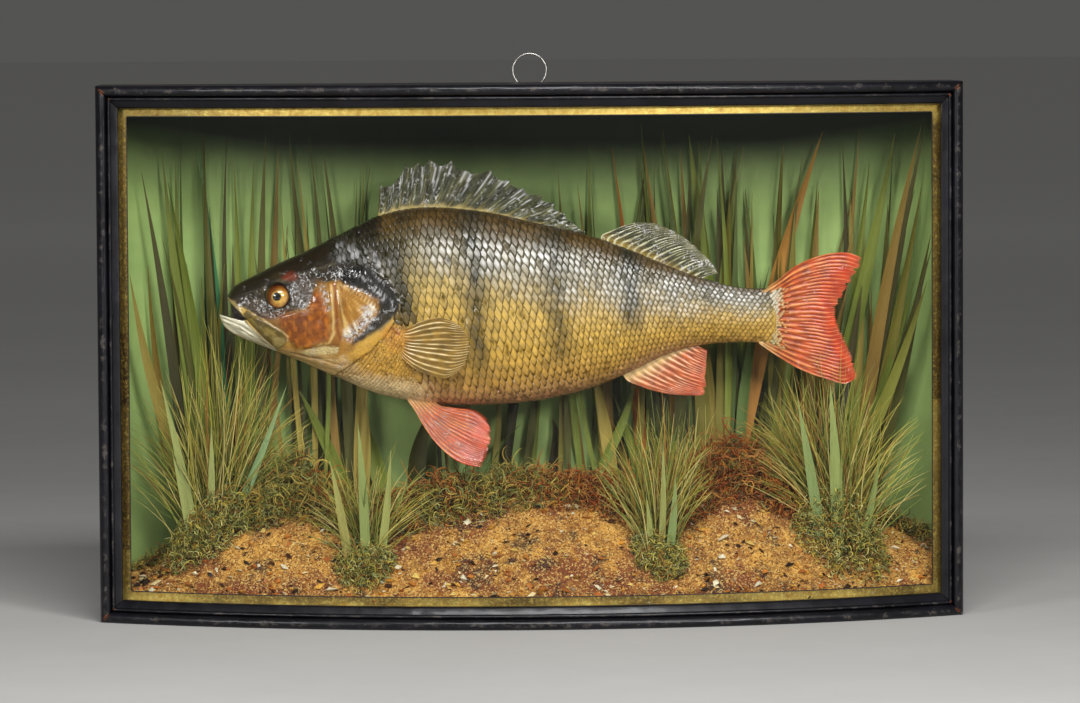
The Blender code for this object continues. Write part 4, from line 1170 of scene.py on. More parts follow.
MOSS = tinted("dyed_moss", 0.8, 1800.0, 0.0001)
MOSS_GREENS = (
    (196, 182, 84), (150, 156, 76), (222, 206, 106), (96, 104, 46), (232, 206, 84), (190, 198, 130),
    (190, 132, 62), (238, 228, 146),
)
draw = np.random.default_rng(51)
for side, (at_x, at_y, across_x, across_y, height, leaves) in CLUMPS.items():
    base_z = float(ground_z(at_x, at_y)) - 0.3 * height
    number = np.arange(1, len(leaves) + 1)
    foot_dx, tip_dx, tip_z, width = np.array(leaves).T
    foot = xyz(at_x + foot_dx, at_y + 0.0011 * number, base_z)
    tip = xyz(at_x + tip_dx, at_y + 0.0011 * number - 0.006, tip_z)
    sweep, fold = np.full(len(leaves), 0.0012), np.full(len(leaves), 0.35)
    points = blade_bundle(foot, tip, 0.78 * width, sweep, fold, draw.normal(0, 0.3, len(leaves)),
                          0.0005, 22)
    tints = pick(draw, TEAL_LEAVES if side == "left" else OLIVE_LEAVES, len(leaves), 0.08)
    clump = blades(f"stiff_leaves_{side}", points, tints, (176, 184, 112), LEAF)
    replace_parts(clump, f"clump_{side}")
    count = int(50000 * across_x)
    turn, out = draw.uniform(0, 2 * math.pi, count), np.sqrt(draw.uniform(0, 1, count))
    x = at_x + across_x * out * np.cos(turn) * 0.80
    y = at_y + across_y * out * np.sin(turn) * 0.92
    crown = height * 1.6 * np.sqrt(np.maximum(1 - out**2, 0))
    roots = xyz(x, y, ground_z(x, y) + crown * draw.uniform(0.2, 1.0, count))
    paths = keep_inside(curly_paths(draw, roots, draw.uniform(0.004, 0.0095, count), 6, 0.6, 0.7))
    radius = draw.uniform(0.00024, 0.00044, count)
    tints = pick(draw, MOSS_GREENS, count, 0.45)
    cushion = strand_bundle(f"moss_cushion_{side}", paths, radius, tints, MOSS)
    print(f"clump {side}: {len(leaves)} leaves, {count} strands of moss")

# %% [markdown]
# ## Grass
#
# Fans of fine dry grass spring from each clump and lean outwards as they rise. One fan
# is drawn by rule: each stalk gets a foot near the clump's middle and a tip on a wide
# arc, and it bends over a little more the further out it leans.

# %% Grass
# Each fan: x and y of its foot, how wide it stands, tips from and to, lengths, stalks.
FANS = {
    "left": (-0.193, 0.019, 0.013, -0.056, 0.062, 0.050, 0.128, 210),
    "left_back": (-0.186, 0.032, 0.018, -0.026, 0.040, 0.085, 0.150, 90),
    "mid_left": (-0.100, -0.020, 0.009, -0.040, 0.044, 0.028, 0.074, 120),
    "mid_right": (0.074, -0.020, 0.010, -0.040, 0.036, 0.040, 0.094, 180),
    "mid_back": (0.088, 0.020, 0.020, -0.030, 0.030, 0.035, 0.080, 110),
    "right": (0.187, 0.004, 0.014, -0.064, 0.054, 0.048, 0.118, 250),
    "right_back": (0.176, 0.026, 0.020, -0.040, 0.040, 0.060, 0.110, 110),
}
GRASS_TINTS = (
    (200, 192, 86), (218, 206, 112), (162, 172, 80), (182, 170, 68), (236, 220, 140),
    (134, 152, 70), (196, 148, 70),
)
GRASS = tinted("dry_grass", 0.6, 900.0, 0.00005, streaks=(1200.0, 1200.0, 60.0))
draw = np.random.default_rng(61)
for side, (at_x, at_y, wide, tip_low, tip_high, short, tall, count) in FANS.items():
    lean = draw.uniform(-1, 1, count)
    lean = np.sign(lean) * np.abs(lean) ** 0.8
    dx = np.where(lean < 0, -lean * tip_low, lean * tip_high)
    length = draw.uniform(short, tall, count) * (1 - 0.30 * np.abs(lean) ** 2)
    x = at_x + wide * (0.55 * lean + draw.normal(0, 0.35, count))
    y = at_y + draw.normal(0, 0.005, count)
    t = np.linspace(0, 1, 9)[:, None]
    drop = 0.16 * np.abs(lean) * length
    bowed = 0.003 * draw.normal(size=count)
    path_x = x + (dx - x + at_x) * t**1.25 + bowed * np.sin(math.pi * t)
    path_y = y + draw.normal(0, 0.008, count) * t
    path_z = ground_z(x, y) + length * t**0.92 - drop * t**3
    paths = keep_inside(xyz(path_x.T, path_y.T, path_z.T))
    radius = draw.uniform(0.00028, 0.00062, count)
    fan = strand_bundle(f"grass_{side}", paths, radius, pick(draw, GRASS_TINTS, count, 0.2), GRASS)
print("stalks of grass:", sum(fan[-1] for fan in FANS.values()))

# %% [markdown]
# ## The moss ridge
#
# Behind the bank's crest, dyed moss and curled fern hide where the reeds are stuck in.
# It runs right across, rust-brown in some lengths and grey-green in others, and stands
# tallest at two places. The strands are drawn like those of the cushions, only longer.

# %% The moss ridge
RIDGE_HEIGHT = curve_through((
    (-0.240, 0.010), (-0.205, 0.020), (-0.175, 0.040), (-0.145, 0.047), (-0.120, 0.034),
    (-0.085, 0.031), (-0.060, 0.032), (-0.030, 0.028), (0.000, 0.023), (0.030, 0.022), (0.060, 0.030),
    (0.100, 0.044), (0.130, 0.046), (0.150, 0.032), (0.190, 0.022), (0.240, 0.016),
))
RUSTS = ((206, 126, 50), (172, 80, 30), (222, 156, 74), (146, 76, 32), (214, 144, 76), (178, 124, 60))
DULL_GREENS = (
    (186, 172, 78), (150, 148, 70), (212, 192, 96), (162, 168, 104), (124, 118, 50), (216, 180, 84),
)


def ridge_roots(draw, count, wanted):
    """Feet along the ridge, kept where the slow colour wave agrees with wanted."""
    x = draw.uniform(-0.243, 0.243, count * 4)
    depth = 0.86 - draw.uniform(0, 1, count * 4) * (0.50 - 0.30 * smooth_step(np.abs(x), 0.165, 0.215))
    front, back = ground_edges(x)
    y = front + (back - front) * depth
    wave = ripple(xyz(x, 0.4 * y, 0), 0.07, 71) + 0.5 * ripple(xyz(x, y, 0), 0.02, 72)
    kept = wanted(wave + draw.normal(0, 0.45, len(x)))
    crowd = draw.uniform(0, 1, len(x)) < np.clip(RIDGE_HEIGHT(x) / 0.026, 0.35, 1)
    x, y, depth = (v[kept & crowd][:count] for v in (x, y, depth))
    rise = RIDGE_HEIGHT(x) * np.sin(math.pi * np.clip((depth - 0.33) / 0.5, 0.06, 1)) ** 0.7
    return xyz(x, y, ground_z(x, y) + rise * draw.uniform(0, 0.72, len(x))), rise


draw = np.random.default_rng(73)
for name, palette, wanted in (("rust", RUSTS, lambda w: w > 0), ("green", DULL_GREENS, lambda w: w <= 0)):
    roots, rise = ridge_roots(draw, 4300, wanted)
    count = len(roots)
    reach = 0.005 + rise * draw.uniform(0.15, 0.55, count)
    paths = keep_inside(curly_paths(draw, roots, reach, 7, 0.5, 0.55))
    radius = draw.uniform(0.00028, 0.00056, count)
    ridge = strand_bundle(f"moss_ridge_{name}", paths, radius, pick(draw, palette, count, 0.3), MOSS)
    print(f"strands of {name} moss in the ridge:", count)

# %% [markdown]
# ## The perch's own frame
#
# The fish is measured in millimetres from its lower lip: x towards the tail, z up. Three
# curves drive its whole body: the line of the back, the line of the belly and how far
# the flank stands out. `in_case` turns such a point into the case's frame, with the
# slight droop and the swing of the tail towards the glass.

# %% The perch's own frame
FISH_X, FISH_Y, FISH_Z = -0.1882, 0.018, 0.1798
TAIL_DROP, TAIL_SWING = 0.0075, 7.0
back_line = curve_through((
    (0, 8), (5.6, 16.8), (8, 19.6), (12.4, 22.4), (21.4, 27), (32, 32.4), (55.3, 43), (78, 54.5),
    (96.6, 63.5),
    (112, 67.3), (128, 68.5), (147, 67.5), (166, 64.9), (185.5, 60.7), (214.5, 54), (231, 49.4),
    (257, 39.7), (278, 31), (297.5, 24.4), (313, 20.6), (326.6, 19.6), (337, 21),
))
belly_line = curve_through((
    (0, 1.2), (1.8, -3), (6.6, -7.3), (13.2, -10.5), (22, -14), (32, -17.8), (48, -24.4),
    (68.6, -33.3), (91.5, -43.2), (112.7, -48.6), (133.3, -51), (159.4, -51.2), (197.6, -47.8),
    (222.5, -41.8), (243.8, -33.6), (276, -18.9), (291.3, -15.2), (315.6, -13.2), (327.7, -13.9),
    (337, -16.5),
))
flank_line = curve_through((
    (0, 4.5), (6, 8), (18, 12.6), (36, 17.6), (64, 22.6), (100, 26.6), (131, 28), (165, 27),
    (202, 23.6), (246, 16), (282, 10), (311, 6.8), (325, 5.2), (337, 2.6),
))
# How much fuller the body is low down than high up.
PEAR = 0.17
UPPER_LIP, LOWER_LIP = (4.8, 13.2), (0.2, 3.5)
MOUTH_CORNER = (19.0, 9.8, -1.2)
FACE_X, BODY_END, MOUTH_DEPTH = 40.0, 337.0, 15.0


def in_case(points):
    """Fish millimetres to the case's frame in metres."""
    x, y, z = np.moveaxis(np.asarray(points, float), -1, 0)
    swing = -TAIL_SWING * (np.maximum(0.0, x - 150) / 237) ** 2
    return xyz(FISH_X + x * MM, FISH_Y + (y + swing) * MM, FISH_Z + (z - TAIL_DROP * x) * MM)


def section(x, turn, grow=0.0):
    """A point of the body's section at x. turn 0 is the ridge of the back, pi the belly."""
    top, low = back_line(x) + grow, belly_line(x) - grow
    side = (flank_line(x) + grow) * np.sin(turn) * (1 - PEAR * np.cos(turn))
    return xyz(x, side, (top + low) / 2 + (top - low) / 2 * np.cos(turn))


def lip(turn):
    """The rim of the open mouth: two jaws that meet at the mouth's corners."""
    share = np.abs(np.cos(turn))
    upper = (np.cos(turn) > 0)[..., None]
    tip = np.where(upper, UPPER_LIP, LOWER_LIP)
    corner_x, corner_y, corner_z = MOUTH_CORNER
    x = corner_x + (tip[..., 0] - corner_x) * share
    return xyz(x, corner_y * np.sin(turn), corner_z + (tip[..., 1] - corner_z) * share)


def face(share, turn):
    """From the lips (share 0) back to the first full section (share 1)."""
    rim = lip(turn)
    x = rim[..., 0] + (FACE_X - rim[..., 0]) * share
    blunt = np.where(np.cos(turn) > 0, 12, 6) * np.cos(turn) ** 4
    return section(x, turn) + (rim - section(rim[..., 0], turn)) * ((1 - share) ** (3 + blunt))[..., None]


def mouth(share, turn):
    """Inside the mouth: the rim drawn back and together."""
    throat = np.array((MOUTH_CORNER[0] + MOUTH_DEPTH, 0.0, -3.0))
    rim = lip(turn)
    return rim + (throat - rim) * (share**1.3)[..., None]


print("body's greatest depth in mm:", round(float(back_line(140) - belly_line(140)), 1))

# %% [markdown]
# ## Where things are on the head
#
# A fish's head is plates of bone under thin skin: the bones of the jaw, the bar in front
# of the gill cover, the fan-shaped cover itself and the soft flap behind it. Each is
# drawn here as an outline in the side view. `depth_inside` measures how deep a point
# lies in an outline, and from that come both the relief and the painted patches, so a
# plate and its colour always agree.

# %% Where things are on the head
GILL_EDGE = (
    (78, 80), (84, 44), (92.7, 35), (100.5, 27), (107.5, 17.5), (109.8, 9.5), (106.5, 0.5),
    (100, -8.5), (91, -17.5), (80, -25.5), (68, -34), (60, -60),
)
OPERCLE = (
    (70.8, 23.5), (76, 23), (83.8, 19.5), (95.9, 14), (96.8, 11), (90.3, 0.9), (84, -6), (79, -9.5),
    (75.6, -8.9), (74.4, -2.5), (72.4, 10.5),
)
PREOPERCLE = (
    (66.5, 24), (70.2, 24), (72, 10.5), (74, -2.5), (75, -9), (72.5, -14), (63.5, -13.5),
    (52, -16.5), (50.5, -14), (58, -12), (66, -9), (68.3, -2), (68.2, 8),
)
LIMB = ((49.5, -18.4), (53.5, -16.6), (63.5, -14.6), (72.4, -15.2), (71.4, -18.8), (60, -20.2), (52, -20))
CHEEK = (
    (36.9, -1.3), (38.3, 3.4), (42.6, 5.2), (49, 7), (53.5, 8.5), (56.5, 13), (57.5, 18),
    (61.5, 19.5), (64.5, 10), (66.2, 5), (67, -3), (67.5, -9), (63, -12.5), (57.8, -14.6),
    (47, -16.4), (42.6, -11.2), (39.6, -4.8),
)
PEBBLED = (
    (10, 11.5), (16, 15), (22, 17.5), (27, 19.5), (30, 23), (40, 24), (47, 27.6), (67.5, 33.5),
    (78, 36), (88, 33), (86, 24), (76, 24.5), (67, 24.5), (62, 21), (58, 19), (57.6, 12), (53, 9.5),
    (46, 6), (39.5, 4), (34, 1.8), (25, 1.4), (19, 5),
)
GILL_FLAP = (
    (72, 24.5), (78, 32), (88, 35), (96, 31), (103, 24.5), (108.5, 17), (110, 10), (107.5, 3.8),
    (102.4, 0.2), (98, -3), (92, -6.8), (83, -12.8), (80, -13), (86, -5.5), (92, 0), (96.6, 7),
    (96.5, 13.8), (84, 19.8), (76, 22.8),
)
MAXILLA = (
    (17, 6.4), (21.9, 3.6), (31, -1.4), (38, -5.6), (42, -9.2), (41.4, -12), (38.3, -15.2),
    (35, -16.8), (27, -9.6), (20, -1.8), (14.5, 3.4),
)
PREMAXILLA = (
    (5.6, 13.8), (11.6, 9), (19, -2.5), (27, -10.5), (35, -17.5), (31, -15.5), (22, -6.5),
    (15.5, 0.5), (10, 6), (5.3, 12),
)
LOWER_JAW = ((-2, 4.5), (15.5, 0.6), (24, -7.5), (35, -17), (34, -21), (16.5, -15), (-2, -4))
EYE_AT, EYE_R, EYE_SHOWN = (36.6, 10.8, 14.7), 9.2, 6.4


def line_distance(x, z, line):
    """Distance of each point from a bent line in the side view."""
    best = np.full(np.shape(x), 1e9)
    for (x0, z0), (x1, z1) in zip(line, line[1:]):
        dx, dz = x1 - x0, z1 - z0
        t = np.clip(((x - x0) * dx + (z - z0) * dz) / (dx * dx + dz * dz), 0, 1)
        best = np.minimum(best, np.hypot(x - x0 - t * dx, z - z0 - t * dz))
    return best


def depth_inside(x, z, outline):
    """How deep each point lies inside an outline. It is negative outside."""
    inside = np.zeros(np.shape(x), bool)
    loop = list(outline) + [outline[0]]
    for (x0, z0), (x1, z1) in zip(loop, loop[1:]):
        if z0 != z1:
            inside ^= ((z0 > z) != (z1 > z)) & (x < x0 + (z - z0) * (x1 - x0) / (z1 - z0))
    return np.where(inside, 1, -1) * line_distance(x, z, loop)


def plate(x, z, outline, soft):
    """1 well inside the outline, 0 outside, with an edge this soft in mm."""
    return smooth_step(depth_inside(x, z, outline), -soft, soft)


def behind_gill(x, z):
    """Signed distance behind the edge of the gill cover."""
    edge_z, edge_x = np.array(GILL_EDGE[::-1], float)[:, ::-1].T
    return np.where(x > np.interp(z, edge_z, edge_x), 1, -1) * line_distance(x, z, GILL_EDGE)


print("gill cover to tail root in mm:", BODY_END - 109.8)

# %% [markdown]
# ## The paint of the skin
#
# A mounted fish keeps little of its own colour, so it is painted under the varnish: pink
# gold below, ochre on the flank, dark olive above, with soft dark bars, then patches on
# the head. A pale band along the upper flank, white flecks on the head's folds and the
# pale rear of the gill cover are painted highlights, and the pale low breast is partly
# painted light. `fish_tint` gives the colour at any point from height, length and the same
# outlines. The skin and the scales both ask it, so their markings always agree.

# %% Tables of the paint
# Height from belly (0) to back (1), and the colour there.
FLANK_TINTS = (
    (0.00, (190, 134, 92)), (0.05, (196, 150, 92)), (0.13, (194, 148, 64)), (0.28, (204, 162, 66)),
    (0.48, (206, 169, 80)), (0.64, (182, 156, 88)), (0.76, (128, 114, 72)), (0.85, (92, 80, 46)),
    (0.91, (92, 70, 28)), (1.0, (78, 56, 18)),
)
# The band of painted highlight along the flank: x, the height of its middle in mm and half its width.
PAINTED_SHEEN_BAND = (
    (95, 40, 8), (119, 43, 12), (154, 38, 16), (180, 34, 16), (204, 28, 16), (249, 17, 15),
    (277, 14, 12), (307, 12, 9), (337, 9, 8),
)
# Each bar: x, half width, strength and the height at which it fades out.
BARS = (
    (113, 6.0, 0.40, 0.40), (155, 7.0, 0.80, 0.06), (204, 8.0, 0.66, 0.10), (249, 7.0, 0.92, 0.26),
    (299, 6.5, 0.36, 0.42),
)
BAR_TINT = (26, 30, 18)
# Painted patches, in the order in which they are laid: colour, outline, softness, strength.
PATCHES = (
    ((30, 22, 10),
     ((-10, 12), (11, 10.5), (27, 19.5), (40, 25), (67.5, 34), (86, 36), (100, 60), (60, 80),
      (-10, 40)), 2.2, 0.97),
    ((44, 40, 22),
     ((70, 24), (72, 52), (94, 52), (110, 46), (113, 30), (116, 14), (115, 3), (110, 1), (100, 10)),
     4.5, 0.88),
    ((202, 152, 54),
     ((80, -22), (92, -10), (104, -1), (112, -2), (122, -30), (112, -50), (88, -44), (66, -34)), 4.0, 0.85),
    # Pale low breast: partly the belly's own pale colour, partly painted light for light bounced onto it.
    ((255, 222, 164), ((60, -29), (80, -32), (104, -35), (128, -37), (132, -56), (80, -56)), 5.0, 0.95),
    ((200, 132, 44), ((97, -4), (105, 0), (113, -3), (114, -16), (104, -18)), 3.0, 0.6),
    ((212, 174, 112), ((30, -17), (60, -20), (76, -20), (86, -28), (70, -42), (26, -22)), 2.5, 0.9),
    ((40, 33, 28), PEBBLED, 1.8, 0.94),
    ((112, 98, 88), ((44, 24), (52, 27), (60, 24), (58, 14), (53, 9), (45.5, 8)), 2.5, 0.6),
    ((112, 66, 30), ((20, 7), (25, 1.6), (31, -1), (42, -9), (44, -15), (46, -2), (42, 7), (32, 5)),
     1.6, 0.8),
    ((96, 84, 72),
     ((12, 10), (20, 13), (27, 13), (28.5, 8), (36, 5.2), (34, 2), (25, 1.6), (19, 5.4)), 1.6, 0.6),
    ((124, 48, 22), ((39, 25.5), (42, 29.4), (47, 29), (48.5, 26.4), (44, 24.4)), 1.2, 0.8),
    ((58, 46, 18), ((30, 25.5), (34, 29), (39, 29), (38, 25)), 1.2, 0.6),
    ((162, 112, 40),
     ((60, 24), (78, 24), (100, 14), (96, 0), (84, -14), (76, -20), (50, -18), (56, -10)), 2.0, 0.9),
    ((142, 74, 3), CHEEK, 1.8, 0.97),
    ((100, 46, 4), ((38, 4), (47, 6), (54, 3), (55, -3), (50, -7), (42, -8), (38.5, -2)), 3.0, 0.6),
    ((154, 98, 30), PREOPERCLE, 0.7, 0.9),
    ((166, 116, 38), OPERCLE, 0.7, 0.95),
    ((228, 204, 140), LIMB, 0.8, 0.9),
    ((20, 17, 14), GILL_FLAP, 1.5, 0.97),
    ((46, 42, 22), ((107, 20), (114, 20), (121, 12), (121, 1), (115, -5), (108, -1), (109.5, 9)), 3.2,
     0.72),
    ((255, 250, 222), LOWER_JAW, 0.8, 0.97),
    ((88, 72, 20), MAXILLA, 0.6, 0.96),
    ((190, 168, 104), ((33, -9), (41, -10), (41, -13), (37, -16), (34, -15)), 1.4, 0.6),
    ((150, 132, 80), PREMAXILLA, 0.5, 0.9),
)
# Fine strokes over the patches: colour, line, half width in mm, strength.
STROKES = (
    ((228, 196, 124), ((68.2, 22), (68.7, 14.4), (69.2, 3), (69.6, -6.8), (66.4, -12.2), (58, -14.8)),
     0.75, 0.75),
    ((118, 52, 12), ((70.4, 23), (70.8, 10), (71.8, -2), (73, -10)), 0.75, 0.8),
    ((222, 184, 108), ((72.2, 22), (73.4, 13.6), (75, 4), (76.8, -2.5), (78, -8)), 0.6, 0.7),
    ((140, 74, 20), ((74, 21), (76.4, 12), (79.4, -1), (80, -7)), 0.5, 0.55),
    ((236, 206, 150), ((74, 22), (84, 17.5), (95.6, 10)), 0.45, 0.6),
    ((200, 166, 92), ((116, 7.6), (108.3, 2), (102.4, -1.6)), 0.8, 0.45),
    ((206, 180, 118), ((109.6, 13), (108.8, 7), (104, 1.4), (96, -4.6)), 0.5, 0.4),
    ((218, 186, 126), ((16, 7.6), (21.9, 4.0), (31, -1.2), (38, -5.4), (42.2, -9), (41.6, -12)), 0.4, 0.65),
    ((150, 130, 56), ((20, 1), (28, -6), (35, -12.6)), 0.6, 0.5),
    ((70, 54, 20), ((20, 3), (30, -4), (37.6, -9.6)), 0.5, 0.5),
    ((112, 90, 44), ((3, -1.4), (12, -4.6), (20, -9.2), (31, -15.2)), 0.55, 0.75),
    ((150, 128, 76), ((2, 1.4), (11, -0.6), (20, -6.4), (29, -14)), 0.35, 0.6),
    ((186, 130, 66), ((1, -3), (10, -8.6), (18, -12.4), (32, -18.6)), 1.0, 0.6),
    ((150, 62, 40), ((104.6, -3.4), (106.6, -6.4)), 1.5, 0.75),
    ((150, 62, 40), ((77.6, -9), (80.6, -11.4)), 1.1, 0.6),
    ((140, 84, 44), ((76, -19), (84, -22), (96, -16)), 1.0, 0.35),
)
# Painted highlights, white on the ridges and folds of the head and nape: line, half width in mm, strength.
PAINTED_HIGHLIGHT_LINES = (
    (((63, 20.5), (65, 14), (66, 8)), 1.6, 1.0),
    (((83, 28.6), (89, 25.6)), 1.4, 0.8), (((94.6, 20), (99.4, 15)), 1.7, 1.0),
    (((104, 13), (106, 8.6)), 1.0, 0.7),
    (((95, 27.6), (100, 23)), 1.0, 0.7), (((74, 41), (90, 40), (104, 33)), 4.5, 0.4),
    (((45, 20), (51, 14), (51, 9)), 3.4, 0.55),
    (((82, 20.4), (88, 18.6), (93, 15.6)), 0.9, 0.7),
    (((89, 7), (91, 3), (85, -4.4), (79, -8.4)), 3.0, 0.95),
    (((95, 6), (101, 6.4)), 0.8, 0.6), (((92, 2), (98, 2.6)), 0.7, 0.6), (((88, -4), (94, -2.6)), 0.7, 0.5),
)


print("patches of paint:", len(PATCHES), "and strokes:", len(STROKES))

# %% [markdown]
# ## Laying the paint
#
# The painter works from broad to fine, and so does `fish_tint`: ground, a band of painted
# highlight and bars first, then the patches, the mottling of cheek and gill cover with a
# painted highlight at its rear, the thin strokes, and last white flecks of painted highlight
# on the head. Waves of unevenness bend the edges, because a brush never follows a line
# exactly.

# %% Laying the paint
def ramp_between(share, stops):
    """A colour for each share, between the colours of the stops."""
    places = [place for place, _ in stops]
    colours = np.array([paint(*colour) for _, colour in stops])
    return np.stack([np.interp(share, places, colours[:, k]) for k in range(3)], -1)


def blend(colour, tint, share):
    """The colour with this much of the tint laid over it."""
    return colour + (paint(*tint) - colour) * np.asarray(share)[..., None]


def painted_sheen(x, z):
    """How much painted highlight each point gets: a soft broken band along the flank."""
    along, middle, wide = np.array(PAINTED_SHEEN_BAND, float).T
    across = (z - np.interp(x, along, middle)) / np.interp(x, along, wide)
    patchy = 0.72 + 0.28 * ripple(xyz(x, 0, z), 22.0, 82)
    fading = smooth_step(x, 110, 132) * (0.55 + 0.45 * smooth_step(x, 130, 200)) * smooth_step(x, 340, 322)
    return np.clip(np.exp(-np.abs(across) ** 2.6) * patchy, 0, 1) * fading


def barred(x, z):
    """How dark the bars are at each point."""
    height = np.clip((z - belly_line(x)) / (back_line(x) - belly_line(x)), 0, 1)
    uneven = ripple(xyz(x, 0, z), 7.0, 85)
    dark = 0 * x
    for bar_x, half, strength, foot in BARS:
        middle = bar_x + 0.7 * np.sin(z * 0.11 + bar_x) - 0.04 * (z - 10)
        bar = np.exp(-np.abs((x - middle) / (half * (1 + 0.12 * uneven))) ** 2.2) * (0.88 + 0.12 * uneven)
        dark = np.maximum(dark, strength * bar * smooth_step(height, foot, foot + 0.24))
    return np.clip(dark, 0, 1)


def painted_highlight(x, z):
    """How strong the painted highlight is at each point of the head and nape."""
    white = sum(much * np.exp(-((line_distance(x, z, line) / wide) ** 2)) for line, wide, much in PAINTED_HIGHLIGHT_LINES)
    return np.clip(white, 0, 1)


def fish_tint(x, z, bars=1.0):
    """The painted colour at each point of the side view. bars is how much of them is laid."""
    top, low = back_line(x), belly_line(x)
    height = np.clip((z - low) / (top - low), 0, 1)
    at = xyz(x, 0, z)
    warped_x, warped_z = x + 0.7 * ripple(at, 6.0, 71), z + 0.7 * ripple(at, 6.0, 72)
    clouded = ripple(at, 34.0, 81)
    colour = ramp_between(np.clip(height + 0.012 * clouded, 0, 1), FLANK_TINTS)
    colour = blend(colour, (180, 140, 50), smooth_step(x, 262, 300) * smooth_step(height, 0.62, 0.3) * 0.6)
    # Painted highlight: the pale sheen band along the flank.
    colour = blend(colour, (172, 166, 146), 0.62 * painted_sheen(x, z))
    colour = blend(colour, BAR_TINT, bars * barred(x, z) * (1 - 0.2 * painted_sheen(x, z)))
    for tint, outline, soft, strength in PATCHES:
        free = 1.0 if soft > 0.9 else 0.25
        patch = plate(x + free * (warped_x - x), z + free * (warped_z - z), outline, soft)
        colour = blend(colour, tint, strength * patch * smooth_step(x, 140, 110))
    rim = np.hypot(x - EYE_AT[0], z - EYE_AT[2])
    colour = blend(colour, (30, 18, 12), smooth_step(rim, EYE_SHOWN + 1.6, EYE_SHOWN + 0.2))
    blotches = smooth_step(ripple(at, 3.4, 73) + 0.7 * ripple(at, 1.5, 74), -0.2, 1.1)
    colour = blend(colour, (92, 36, 2), 0.55 * blotches * plate(warped_x, warped_z, CHEEK, 2.0))
    warm = smooth_step(ripple(at, 4.2, 86) + 0.5 * ripple(at, 1.7, 90), 0.0, 1.3)
    colour = blend(colour, (206, 120, 14), 0.5 * warm * plate(warped_x, warped_z, CHEEK, 2.0))
    hinge, turn = np.hypot(x - 70, z - 24), np.arctan2(z - 24, x - 70)
    fan = plate(x, z, OPERCLE, 0.8)
    along_fan = xyz(turn * 12, 0, hinge * 0.05)
    spread_lines = ripple(along_fan, 1.3, 75) + 0.6 * ripple(along_fan, 0.6, 78)
    colour = blend(colour, (112, 66, 16), 0.55 * fan * smooth_step(spread_lines, 0.2, -0.8))
    colour = blend(colour, (232, 196, 120), 0.55 * fan * smooth_step(spread_lines, 0.5, 1.3))
    # Painted highlight along the gill cover's rear lower edge.
    rear = smooth_step(line_distance(x, z, ((94, 8), (89, 0), (78, -8))), 6.0, 1.5)
    colour = blend(colour, (255, 246, 222), 0.95 * fan * rear * smooth_step(spread_lines, -0.7, 0.5))
    brush_x, brush_z = warped_x * 0.4 + x * 0.6, warped_z * 0.4 + z * 0.6
    ragged = 0.8 + 0.35 * ripple(at, 2.6, 79)
    for tint, line, wide, strength in STROKES:
        stroke = np.exp(-((line_distance(brush_x, brush_z, line) / (wide * ragged)) ** 2))
        colour = blend(colour, tint, strength * stroke)
    mottled = smooth_step(ripple(at, 9.0, 88) + 0.4 * ripple(at, 3.0, 89), -0.1, 1.3)
    colour = blend(colour, (170, 146, 74), 0.5 * mottled * plate(x, z, MAXILLA, 0.6))
    jaw_waves = np.sin(2.1 * (z + 0.62 * x) + 1.5 * ripple(at, 5.0, 87))
    streaked = plate(x, z, LOWER_JAW, 0.6) * smooth_step(jaw_waves, 0.2, 1.0)
    colour = blend(colour, (176, 150, 92), 0.35 * streaked)
    # White flecks of painted highlight, where the painted highlight lines lie.
    highlight_flecks = smooth_step(ripple(at, 1.7, 76) + 0.6 * ripple(at, 0.9, 77), -0.3, 0.8)
    return blend(colour, (238, 236, 236), 0.85 * highlight_flecks * painted_highlight(x, z))


print("flank tint at mid body:", np.round(fish_tint(np.array([150.0]), np.array([0.0]))[0], 3))

# %% [markdown]
# ## The relief of the skin
#
# The body's loft is smooth, so the bones and folds are added by moving each point of the
# skin in or out: plates rise with firm edges, folds sink along lines, and the orbit is
# drawn in so that the glass eye sits deep. Where scales will lie, the skin is lowered by
# their depth, so that they end up level with the plain solid.

# %% The relief of the skin
COAT_DEPTH = 0.38
# Plates: outline, how far it stands out in mm, and how soft its edge is.
PLATES = (
    (OPERCLE, 0.55, 0.35), (PREOPERCLE, 0.55, 0.4), (LIMB, 0.5, 0.35), (CHEEK, 0.35, 2.2),
    (MAXILLA, 0.75, 0.35), (PREMAXILLA, 0.55, 0.4), (GILL_FLAP, 0.12, 0.8),
)
# Folds: a line, how deep it is in mm and how wide.
FOLDS = (
    (((3, 1.2), (14, -3.5), (26, -12), (34, -18.6)), 0.55, 0.55),
    (((1, -0.2), (12, -7.0), (24, -13.2), (34, -19.6)), 0.35, 0.5),
    (((6, -4.5), (16, -10.5), (30, -17)), 0.3, 0.6),
    (((44, -19.5), (60, -23), (74, -26.5), (86, -24)), 0.5, 0.7),
    (((40, -20.5), (58, -26.5), (72, -31), (84, -33)), 0.45, 0.8),
    (((36, -18), (54, -22.2), (70, -22.6)), 0.4, 0.6),
    (((14, 8.6), (22, 5.2), (32, -1.4), (42.6, -8.6)), 0.55, 0.5),
    (((33, 3.2), (41, 5.4), (53, 9.2), (60, 11), (66, 8)), 0.35, 0.9),
    (((50, -17.2), (62, -14.2), (72, -14.6)), 0.4, 0.45),
    (((60, 34), (74, 31), (86, 29), (96, 26)), 0.35, 0.9),
)
# Nostrils: x and z in mm and half the width.
NOSTRILS = ((20.2, 16.2, 0.9), (24.0, 17.6, 0.7))


